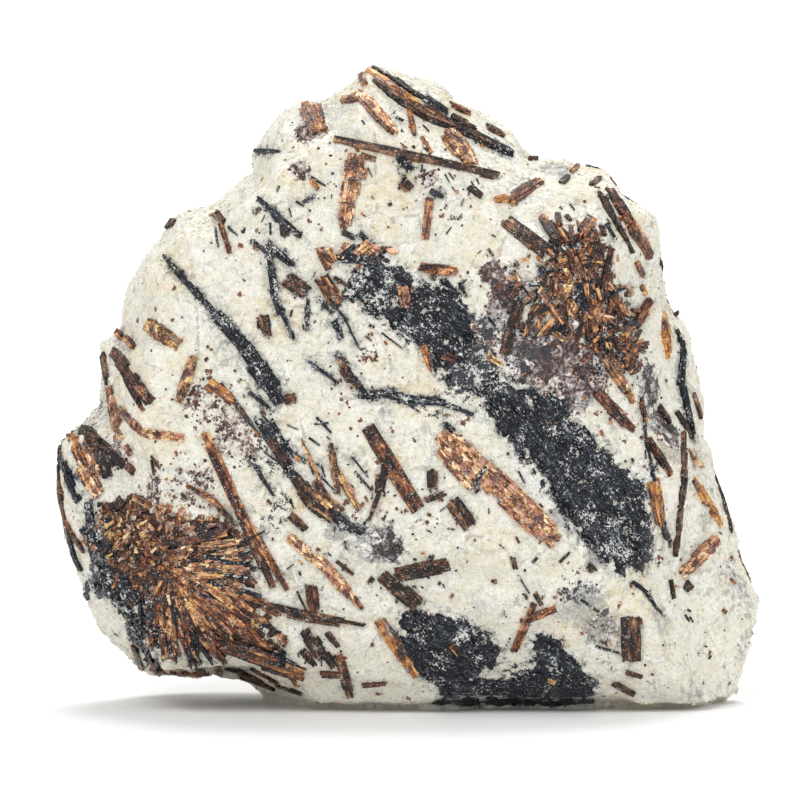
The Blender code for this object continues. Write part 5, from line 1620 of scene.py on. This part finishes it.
def sow_grain(pile, place, normal, chance):
    """Sinks one block half into the skin."""
    size = chance.uniform(*GRAIN_SIZE) * MM
    turn = any_turn(chance)
    wide, high = size * chance.uniform(*GRAIN_SIDES), size * chance.uniform(*GRAIN_SIDES)
    sides = Matrix.Diagonal((size, wide, high, 1.0))
    centre = Matrix.Translation(place - normal * size * chance.uniform(*GRAIN_SUNK))
    pile.block(centre @ turn @ sides, (place.x / MM, place.z / MM), chance.random(), (0, 0),
               ragged=GRAIN_RAGGED, chance=chance)


def sow(name, count, seed, wanted):
    """Grains at random places of the skin that are wanted, as one mesh."""
    chance = random.Random(seed)
    pile = Pile()
    faces = rock.data.polygons
    vertices = rock.data.vertices
    sown = 0
    while sown < count:
        face = faces[chance.randrange(len(faces))]
        if not wanted(face):
            continue
        around = [vertices[index].co for index in face.vertices]
        place = around[0].lerp(around[2], chance.random())
        place = place.lerp(around[1], chance.random() * 0.5)
        _, _, _, distance = taken.find_nearest(place, chance.uniform(*CLEAR_OF_CRYSTALS) * MM)
        sown += 1
        if distance is None:
            sow_grain(pile, place, face.normal, chance)
    return pile.finish(name)


def share_layers(thing):
    """Gives each grain the stains of the rock beside it."""
    tree = KDTree(len(rock.data.vertices))
    for index, vertex in enumerate(rock.data.vertices):
        tree.insert(vertex.co, index)
    tree.balance()
    nearest = [tree.find(vertex.co)[1] for vertex in thing.data.vertices]
    for name, rows in stains.items():
        add_layer(thing, name, rows[nearest])


def on_front(face):
    return face.normal.y < FRONT_LIMIT and face.center.z > CLEAR_OF_FLOOR


def on_other_sides(face):
    return face.normal.y >= FRONT_LIMIT and face.normal.z > UNDER_LIMIT and face.center.z > CLEAR_OF_FLOOR


sugar = [
    sow("sugar_front", GRAIN_COUNT, 21, on_front),
    sow("sugar_other_sides", GRAIN_COUNT, 22, on_other_sides),
]
for thing in sugar:
    share_layers(thing)
print([len(thing.data.polygons) for thing in sugar], "faces of sugar")

# %% [markdown]
# ## Shader maths
# Nodes are easier to read as sums. This small class wraps a socket, so that `1 - mask` or `streak * 0.5`
# adds the Math node that it says. Colours go through Mix nodes. Any other node comes from one method.

# %% Sockets as values
class Value:
    """A number that changes over the surface."""

    def __init__(self, maker, socket):
        self.maker = maker
        self.socket = socket

    def sum(self, operation, first, second):
        return self.maker.value("ShaderNodeMath", {"operation": operation}, {0: first, 1: second})

    def __add__(self, other):
        return self.sum("ADD", self, other)

    def __sub__(self, other):
        return self.sum("SUBTRACT", self, other)

    def __mul__(self, other):
        return self.sum("MULTIPLY", self, other)

    def __rsub__(self, other):
        return self.sum("SUBTRACT", other, self)

    __radd__ = __add__
    __rmul__ = __mul__

    def step(self, start, end):
        """0 below start and 1 above end, with a soft change between them. With start above end it falls."""
        limits = {"Value": self, "From Min": start, "From Max": end}
        return self.maker.value("ShaderNodeMapRange", {"interpolation_type": "SMOOTHSTEP"}, limits)

    def most(self, other):
        return self.sum("MAXIMUM", self, other)


print("a value has", [name for name in vars(Value) if not name.startswith("_")])

# %% [markdown]
# A maker starts a material, adds its nodes in the tree and links them. Textures are asked for in
# millimetres, because a grain is easier to picture than a scale.

# %% One maker for each material
class Maker:
    """Builds one material's nodes."""

    def __init__(self, name):
        self.material = bpy.data.materials.new(name)
        self.material.use_nodes = True
        self.tree = self.material.node_tree
        self.shader = self.tree.nodes["Principled BSDF"]
        self.place = self.node("ShaderNodeTexCoord").outputs["Object"]

    def node(self, kind, settings=None, inputs=None):
        node = self.tree.nodes.new(kind)
        for setting, value in (settings or {}).items():
            if setting == "stops":
                self.set_stops(node.color_ramp, value)
            else:
                setattr(node, setting, value)
        for key, value in (inputs or {}).items():
            self.feed(node.inputs[key], value)
        return node

    @staticmethod
    def set_stops(ramp, stops):
        while len(ramp.elements) < len(stops):
            ramp.elements.new(1.0)
        for element, (position, colour) in zip(ramp.elements, stops):
            element.position = position
            element.color = (*colour, 1.0)

    def feed(self, socket, value):
        if isinstance(value, Value):
            value = value.socket
        if isinstance(value, bpy.types.NodeSocket):
            self.tree.links.new(value, socket)
        elif isinstance(value, tuple) and len(value) == 3 and socket.type == "RGBA":
            socket.default_value = (*value, 1.0)
        else:
            socket.default_value = value

    def value(self, kind, settings=None, inputs=None):
        return Value(self, self.node(kind, settings, inputs).outputs[0])

    def stretched(self, vector, scale, shift=(0.0, 0.0, 0.0)):
        sized = self.node("ShaderNodeVectorMath", {"operation": "MULTIPLY"}, {0: vector, 1: scale})
        moved = self.node("ShaderNodeVectorMath", {"operation": "ADD"}, {0: sized.outputs[0], 1: shift})
        return moved.outputs[0]

    def noise(self, size, detail=3.0, shift=0.0, vector=None, roughness=0.55):
        """Soft noise with lumps of a size in mm."""
        per_metre = 1.0 / (size * MM) if vector is None else 1.0 / size
        where = self.stretched(vector or self.place, (per_metre,) * 3, (shift, shift * 0.7, 0.0))
        inputs = {"Vector": where, "Scale": 1.0, "Detail": detail, "Roughness": roughness}
        return self.value("ShaderNodeTexNoise", None, inputs)

    def cells(self, size, feature="F1", shift=0.0, vector=None):
        """A Voronoi texture with cells of a size in mm."""
        per_metre = 1.0 / (size * MM) if vector is None else 1.0 / size
        where = self.stretched(vector or self.place, (per_metre,) * 3, (shift, 0.0, shift))
        return self.node("ShaderNodeTexVoronoi", {"feature": feature}, {"Vector": where, "Scale": 1.0})

    def cell_tones(self, size, **how):
        """Three random numbers for each cell."""
        return self.parts(self.cells(size, **how).outputs["Color"])

    def seams(self, size, **how):
        """How far a place lies from the nearest border of a cell."""
        return Value(self, self.cells(size, "DISTANCE_TO_EDGE", **how).outputs["Distance"])

    def spots(self, spacing, share, radius, shift, frayed):
        """Spots: their spacing in mm, the share of places with one, their radius against the spacing."""
        cells = self.cells(spacing, shift=shift)
        chosen = self.parts(cells.outputs["Color"])[1].step(1.0 - share, 1.02 - share)
        inside = (Value(self, cells.outputs["Distance"]) + frayed).step(radius * 1.2, radius * 0.8)
        return chosen * inside

    def warped(self, vector, size, amount):
        """The vector pushed about by noise, so that cells of it get ragged edges."""
        where = self.stretched(vector, (1.0 / size,) * 3)
        push = self.node("ShaderNodeTexNoise", None, {"Vector": where, "Scale": 1.0, "Detail": 3.0})
        centred = self.stretched(push.outputs["Color"], (amount,) * 3, (-amount / 2,) * 3)
        return self.node("ShaderNodeVectorMath", {"operation": "ADD"}, {0: vector, 1: centred}).outputs[0]

    def layer(self, name):
        return self.node("ShaderNodeAttribute", {"attribute_name": name}).outputs["Vector"]

    def parts(self, vector):
        split = self.node("ShaderNodeSeparateXYZ", None, {0: vector})
        return [Value(self, split.outputs[index]) for index in range(3)]

    def mix(self, factor, first, second):
        settings = {"data_type": "RGBA", "clamp_factor": True}
        return self.node("ShaderNodeMix", settings, {0: factor, 6: first, 7: second}).outputs[2]

    def ramp(self, value, stops):
        return self.node("ShaderNodeValToRGB", {"stops": stops}, {0: value}).outputs[0]

    def finish(self, colour, roughness, height=None, bump=0.3, distance=0.05, **plain):
        self.feed(self.shader.inputs["Base Color"], colour)
        self.feed(self.shader.inputs["Roughness"], roughness)
        if height is not None:
            inputs = {"Height": height, "Strength": bump, "Distance": distance * MM}
            self.feed(self.shader.inputs["Normal"], self.node("ShaderNodeBump", None, inputs).outputs[0])
        for name, value in plain.items():
            self.shader.inputs[name.replace("_", " ").title().replace("Ior", "IOR")].default_value = value
        return self.material


print("shader helpers ready")

# %% [markdown]
# ## Sugary feldspar
# Cream white, with grains that each take the light in their own way, grey patches that look half clear,
# faint yellow stains and small dark specks. The painted layers say where clouds of purple, black and rust
# lie, and fine noise breaks each cloud into separate grains, because a smooth fade would look airbrushed.

# %% The feldspar finish
GRAIN_CELL = 0.42
LUMP_CELL = 1.3
CRACK_CELL = 8.0
CREAM = (0.775, 0.735, 0.59)
CHALK = (0.85, 0.84, 0.765)
CLEAR_GREY = (0.50, 0.495, 0.465)
DEEP_GREY = (0.24, 0.245, 0.23)
BLUE_GREY = (0.42, 0.44, 0.44)
STRAW = (0.72, 0.56, 0.27)
OCHRE = (0.60, 0.40, 0.18)
FRECKLE = (0.17, 0.06, 0.035)
CRACK = (0.33, 0.30, 0.25)
SPECK = (0.16, 0.155, 0.14)
BLACK_DUST = (0.03, 0.034, 0.046)
RUST = (0.26, 0.095, 0.035)
PURPLE_STOPS = [(0.32, (0.030, 0.016, 0.017)), (0.44, (0.10, 0.055, 0.052)), (0.53, (0.25, 0.175, 0.165)),
                (0.61, (0.46, 0.40, 0.365)), (0.72, (0.76, 0.73, 0.67))]
SMOKE_STOPS = [(0.32, (0.028, 0.026, 0.03)), (0.43, (0.11, 0.10, 0.10)), (0.53, (0.28, 0.25, 0.245)),
               (0.62, (0.52, 0.49, 0.475)), (0.72, (0.80, 0.79, 0.76))]


def feldspar_finish():
    maker = Maker("feldspar")
    grain_tone = maker.cell_tones(GRAIN_CELL)[0]
    soft = maker.noise(2.6, shift=3.0)
    fine = maker.noise(0.35, detail=4.0, shift=8.0)
    speckle = maker.noise(0.2, detail=2.0, shift=11.0)
    broken = maker.noise(0.9, detail=5.0, shift=1.0, roughness=0.7)
    patches = maker.noise(1.7, detail=5.0, shift=15.0, roughness=0.7)
    crumbs = maker.noise(0.45, detail=4.0, shift=5.0, roughness=0.7)
    purple, black, rust = maker.parts(maker.layer("dust"))
    grey, yellow, smoke = maker.parts(maker.layer("haze"))

    # White grains, each a little different, with half clear and ochre ones between them.
    colour = maker.mix(soft.step(0.3, 0.7), CREAM, CHALK)
    colour = maker.mix((grain_tone - 0.5) * 0.5 + (fine - 0.5) * 1.2 + 0.10, colour, CLEAR_GREY)
    colour = maker.mix(patches.step(0.53, 0.65) * crumbs.step(0.36, 0.56) * 0.7, colour, BLUE_GREY)
    colour = maker.mix(patches.step(0.44, 0.34) * crumbs.step(0.42, 0.6) * 0.45, colour, OCHRE)

    # Stains: noise added to the strength of a cloud breaks it into patches.
    cloudy = maker.mix(crumbs.step(0.4, 0.6), DEEP_GREY, CLEAR_GREY)
    colour = maker.mix((grey + (broken - 0.5) * 1.5).step(0.42, 0.68) * 0.85, colour, cloudy)
    colour = maker.mix((yellow + (broken - 0.5) * 1.2).step(0.3, 0.9) * 0.7, colour, STRAW)
    colour = maker.mix((rust + (crumbs - 0.5) * 2.2).step(0.5, 0.8) * 0.8, colour, RUST)

    # A few long cracks, and faint dark seams round every grain, partly grain borders and partly painted
    # shade in the crevices between grains.
    crack = (maker.seams(CRACK_CELL, shift=4.0) + (patches - 0.5) * 0.25).step(0.010, 0.003)
    seam = maker.seams(GRAIN_CELL).step(0.09, 0.0)
    colour = maker.mix(crack * soft.step(0.42, 0.56) * 0.5 + seam * 0.25, colour, CRACK)

    # Smoky and purple grains: lumps with tones of their own and dark outlines.
    outlines = (maker.seams(LUMP_CELL, shift=25.0) + (crumbs - 0.5) * 0.25).step(0.10, 0.0) * 0.14
    lump_tone = maker.cell_tones(LUMP_CELL, shift=25.0)[0]
    inside = 0.495 + (lump_tone - 0.5) * 0.34 + (crumbs - 0.5) * 0.85 + (patches - 0.5) * 0.5 - outlines
    smoky = (smoke + (patches - 0.5) * 1.8 + (crumbs - 0.5) * 0.5).step(0.45, 0.56)
    colour = maker.mix(smoky, colour, maker.ramp(inside, SMOKE_STOPS))
    purple_here = (purple + (broken - 0.5) * 1.9 + (crumbs - 0.5) * 0.6).step(0.46, 0.60)
    colour = maker.mix(purple_here, colour, maker.ramp(inside + (fine - 0.5) * 0.5, PURPLE_STOPS))

    # Black dust, specks and freckles on top of all.
    blackened = (black + (speckle - 0.5) * 1.0 + (broken - 0.5) * 2.0).step(0.54, 0.66)
    colour = maker.mix(blackened, colour, BLACK_DUST)
    colour = maker.mix(speckle.step(0.69, 0.74) * 0.5, colour, SPECK)
    frayed = (crumbs - 0.5) * 0.9
    colour = maker.mix(maker.spots(1.7, 0.14, 0.20, 2.0, frayed), colour, FRECKLE)
    colour = maker.mix(maker.spots(0.9, 0.15, 0.15, 17.0, frayed), colour, BLACK_DUST)
    colour = maker.mix(maker.spots(0.55, 0.16, 0.16, 29.0, frayed) * 0.7, colour, CRACK)
    height = fine + grain_tone * 0.6
    return maker.finish(colour, 0.42 + grain_tone * 0.3, height=height, bump=0.45, distance=0.12)


feldspar = feldspar_finish()
rock.data.materials.clear()
rock.data.materials.append(feldspar)
print("the feldspar has", len(feldspar.node_tree.nodes), "nodes")

# %% [markdown]
# ## Bladed crystals
# All the blades share one recipe. The tone of the block, streaks along the laths and a mottle add up to
# one number, and a ramp turns that into the colours of the mineral: dark in the cracks, its own colour,
# and pale where a cleavage face catches the light. What differs between the minerals is the ramp, its
# level and the shine: roughness, metal and the strength of the mirror glance.

# %% The crystal finishes
CRYSTAL_STOPS = {
    BRONZE: [(0.14, (0.030, 0.013, 0.010)), (0.31, (0.19, 0.066, 0.030)), (0.47, (0.48, 0.21, 0.088)),
             (0.65, (0.74, 0.45, 0.22)), (0.84, (0.94, 0.77, 0.52))],
    GOLD: [(0.14, (0.05, 0.024, 0.012)), (0.32, (0.24, 0.105, 0.038)), (0.50, (0.50, 0.26, 0.09)),
           (0.70, (0.76, 0.49, 0.19)), (0.90, (0.96, 0.80, 0.50))],
    AMBER: [(0.14, (0.018, 0.010, 0.009)), (0.30, (0.15, 0.044, 0.015)), (0.50, (0.40, 0.135, 0.025)),
            (0.70, (0.62, 0.28, 0.05)), (0.90, (0.84, 0.55, 0.20))],
    RED: [(0.16, (0.013, 0.008, 0.008)), (0.32, (0.065, 0.022, 0.014)), (0.50, (0.185, 0.057, 0.024)),
          (0.68, (0.39, 0.155, 0.055)), (0.90, (0.76, 0.45, 0.20))],
    DARK: [(0.14, (0.010, 0.008, 0.009)), (0.34, (0.040, 0.019, 0.014)), (0.54, (0.115, 0.048, 0.026)),
           (0.72, (0.26, 0.125, 0.060)), (0.92, (0.52, 0.33, 0.16))],
    BLACK: [(0.22, (0.004, 0.005, 0.007)), (0.47, (0.012, 0.014, 0.020)), (0.64, (0.034, 0.040, 0.054)),
            (0.78, (0.12, 0.135, 0.16)), (0.92, (0.45, 0.47, 0.50))],
}
PLATED = (BRONZE, GOLD)
LEVELS = {BRONZE: 0.255, GOLD: 0.255, AMBER: 0.255, RED: 0.23, DARK: 0.18, BLACK: 0.40}
SHINE = {BRONZE: (0.32, 0.35, 0.5), GOLD: (0.32, 0.3, 0.5), AMBER: (0.3, 0.0, 0.5), RED: (0.36, 0.1, 0.35),
         DARK: (0.4, 0.05, 0.3), BLACK: (0.45, 0.0, 0.22)}
FROST_AND_GLINT = (0.62, 0.60, 0.55)
WHITE_DUST_AND_SPARKLE = (0.74, 0.74, 0.69)
PINK = (0.52, 0.22, 0.14)
PLUM = (0.10, 0.045, 0.05)
BLUE_BLACK = (0.115, 0.13, 0.16)


def dusted(maker, colour, where, tone, mottle, speckle):
    """Grey fibres in the black mineral, white dust in clouds on it, and painted sparkles of light."""
    clouds = maker.noise(2.4, detail=6.0, shift=6.0, roughness=0.7)
    fibres = maker.noise(1.0, detail=3.0, vector=maker.stretched(where, (1.3, 4.5, 1.0)), roughness=0.7)
    grey_fibres = (fibres + (speckle - 0.5) * 0.5).step(0.50, 0.72)
    colour = maker.mix(grey_fibres * 0.55, colour, BLUE_BLACK)
    grains = (mottle - 0.5) * 3.0 + (fibres - 0.5) * 1.4 + (speckle - 0.5) * 1.8
    dusty = (tone * 0.42 + (clouds - 0.5) * 2.6 + grains).step(0.46, 0.80)
    # Painted highlights: tiny sparkles of light, mixed in the white dust colour.
    painted_sparkle = speckle.step(0.67, 0.72) * 0.6
    return maker.mix((dusty * 0.85).most(painted_sparkle), colour, WHITE_DUST_AND_SPARKLE)


def frosted_and_glinted(maker, colour, plated, hue, speckle):
    """Pink and plum scales on bronze and gold; on every blade pale frost and tiny painted highlight glints.
    """
    if plated:
        colour = maker.mix(hue.step(0.72, 0.80) * 0.55, colour, PINK)
        colour = maker.mix(hue.step(0.22, 0.15) * 0.7, colour, PLUM)
    crumbs = maker.noise(0.9, detail=5.0, shift=6.0, roughness=0.7)
    frost = (crumbs + (speckle - 0.5) * 0.9).step(0.62, 0.71) * 0.65
    # Painted highlights: tiny pale glints in the frost colour, standing in for light caught by the blade.
    painted_glint = speckle.step(0.61, 0.69) * (0.5 if plated else 0.3)
    return maker.mix(frost.most(painted_glint), colour, FROST_AND_GLINT)


def crystal_finish(name):
    maker = Maker(name)
    plated = name in PLATED
    where = maker.layer(LAYER)
    tone = maker.parts(where)[2]
    streaks = maker.noise(1.0, detail=3.0, vector=maker.stretched(where, (0.4, 2.6, 1.5)), roughness=0.6)
    patch = maker.noise(1.0, detail=3.0, vector=maker.stretched(where, (0.75, 0.95, 0.5)), roughness=0.6)
    mottle = maker.noise(0.38, detail=4.0, shift=2.0, roughness=0.7)
    speckle = maker.noise(0.19, detail=2.0, shift=9.0)
    scales = maker.stretched(where, (0.95, 1.3, 0.6) if plated else (0.5, 1.5, 0.8))
    scales = maker.warped(scales, 0.8, 1.4)
    scale_tone, scale_hue, _ = maker.cell_tones(1.0, vector=scales)
    seam = maker.seams(1.0, vector=scales).step(0.09, 0.01)
    level = tone * (0.15 if name == BLACK else 0.5) + (streaks - 0.5) * 1.1 + (patch - 0.5) * 1.1
    level = level + (mottle - 0.5) * 0.8 + LEVELS[name]
    level = level + (scale_tone - 0.5) * (0.5 if plated else 0.3)
    colour = maker.ramp(level - seam * (0.4 if plated else 0.28), CRYSTAL_STOPS[name])
    if name == BLACK:
        colour = dusted(maker, colour, where, tone, mottle, speckle)
    else:
        colour = frosted_and_glinted(maker, colour, plated, scale_hue, speckle)
    rough, metal, glance = SHINE[name]
    height = streaks + mottle * 0.5 - seam * 0.5
    return maker.finish(colour, rough + (mottle - 0.4) * 0.5, height=height, bump=0.5, distance=0.08,
                        metallic=metal, specular_ior_level=glance)


finishes = {name: crystal_finish(name) for name in CRYSTAL_STOPS}
print(len(finishes), "crystal finishes made")

# %% [markdown]
# ## Dress the frame
# Every piece rides on the one body of the specimen and takes its finish, and the solid that it stands for
# is hidden. The rock stands for the solid block, which is hidden too.

# %% Ride, finish and hide
for thing in sugar:
    thing.data.materials.append(feldspar)
    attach(thing, "root")
for thing, finish, nodes in dressed:
    thing.data.materials.append(finishes[finish])
    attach(thing, "root")
    if nodes:
        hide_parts(*nodes)
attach(rock, "root")
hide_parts("matrix")
left = [name for name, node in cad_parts.items() if not node.hide_render]
print("solids still shown:", left)

# %% [markdown]
# ## Floor, light and camera
# The specimen stands on a plain pale floor in soft studio light, as in a catalogue. A long lens far away
# keeps the shape almost without perspective.

# %% Studio
FLOOR_SIZE = 14.0
WORLD_LIGHT = 0.60
LENS = 600.0
SENSOR = 36.0
FRAME_WIDTH = 101.3 * MM
AIM = (-0.95, 38.35)
FRONT_PLANE = 8.0
NEAREST = 0.01
FLOOR_COLOUR = (0.92, 0.92, 0.92)
FLOOR_ROUGHNESS = 0.7
WORLD_COLOUR = (1.0, 1.0, 1.0, 1.0)

# Each light has a name, where it comes from, how wide it is in degrees and its strength.
LIGHTS = [
    ("key", (-0.40, -0.75, 0.95), 30.0, 1.15),
    ("side", (0.85, -0.60, 0.50), 50.0, 0.55),
    ("top", (0.05, 0.40, 0.95), 26.0, 1.60),
]


def floor():
    shape = bmesh.new()
    bmesh.ops.create_grid(shape, x_segments=1, y_segments=1, size=FLOOR_SIZE / 2)
    thing = object_of("floor", shape)
    thing.data.materials.append(Maker("floor").finish(FLOOR_COLOUR, FLOOR_ROUGHNESS))
    thing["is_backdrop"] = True


def wide_light(name, place, spread_angle, strength):
    """Even light from one side. The wider the angle, the softer its shadows."""
    lamp = bpy.data.lights.new(name, "SUN")
    lamp.angle = math.radians(spread_angle)
    lamp.energy = strength
    thing = bpy.data.objects.new(name, lamp)
    thing.rotation_euler = Vector(place).to_track_quat("Z", "Y").to_euler()
    bpy.context.scene.collection.objects.link(thing)


def camera():
    lens = bpy.data.cameras.new("camera")
    lens.lens = LENS
    lens.sensor_width = SENSOR
    lens.clip_start = NEAREST
    thing = bpy.data.objects.new("camera", lens)
    across, up = AIM
    target = FRONT.right * across * MM + FRONT.up * up * MM - FRONT.inward * FRONT_PLANE * MM - FRAME_SHIFT
    distance = FRAME_WIDTH * LENS / SENSOR
    thing.location = target - FRONT.inward * distance
    thing.rotation_euler = FRONT.inward.to_track_quat("-Z", "Y").to_euler()
    bpy.context.scene.collection.objects.link(thing)
    bpy.context.scene.camera = thing


floor()
for light in LIGHTS:
    wide_light(*light)
camera()
world = bpy.data.worlds.new("studio")
world.use_nodes = True
background = world.node_tree.nodes["Background"]
background.inputs["Color"].default_value = WORLD_COLOUR
background.inputs["Strength"].default_value = WORLD_LIGHT
bpy.context.scene.world = world
bpy.context.scene.view_settings.view_transform = "Standard"
print("studio ready")

# %% [markdown]
# ## The size
# The dressed rock must not outgrow the solid model. Its box is printed.

# %% Print the dressed box
print("dressed box", plain_box())
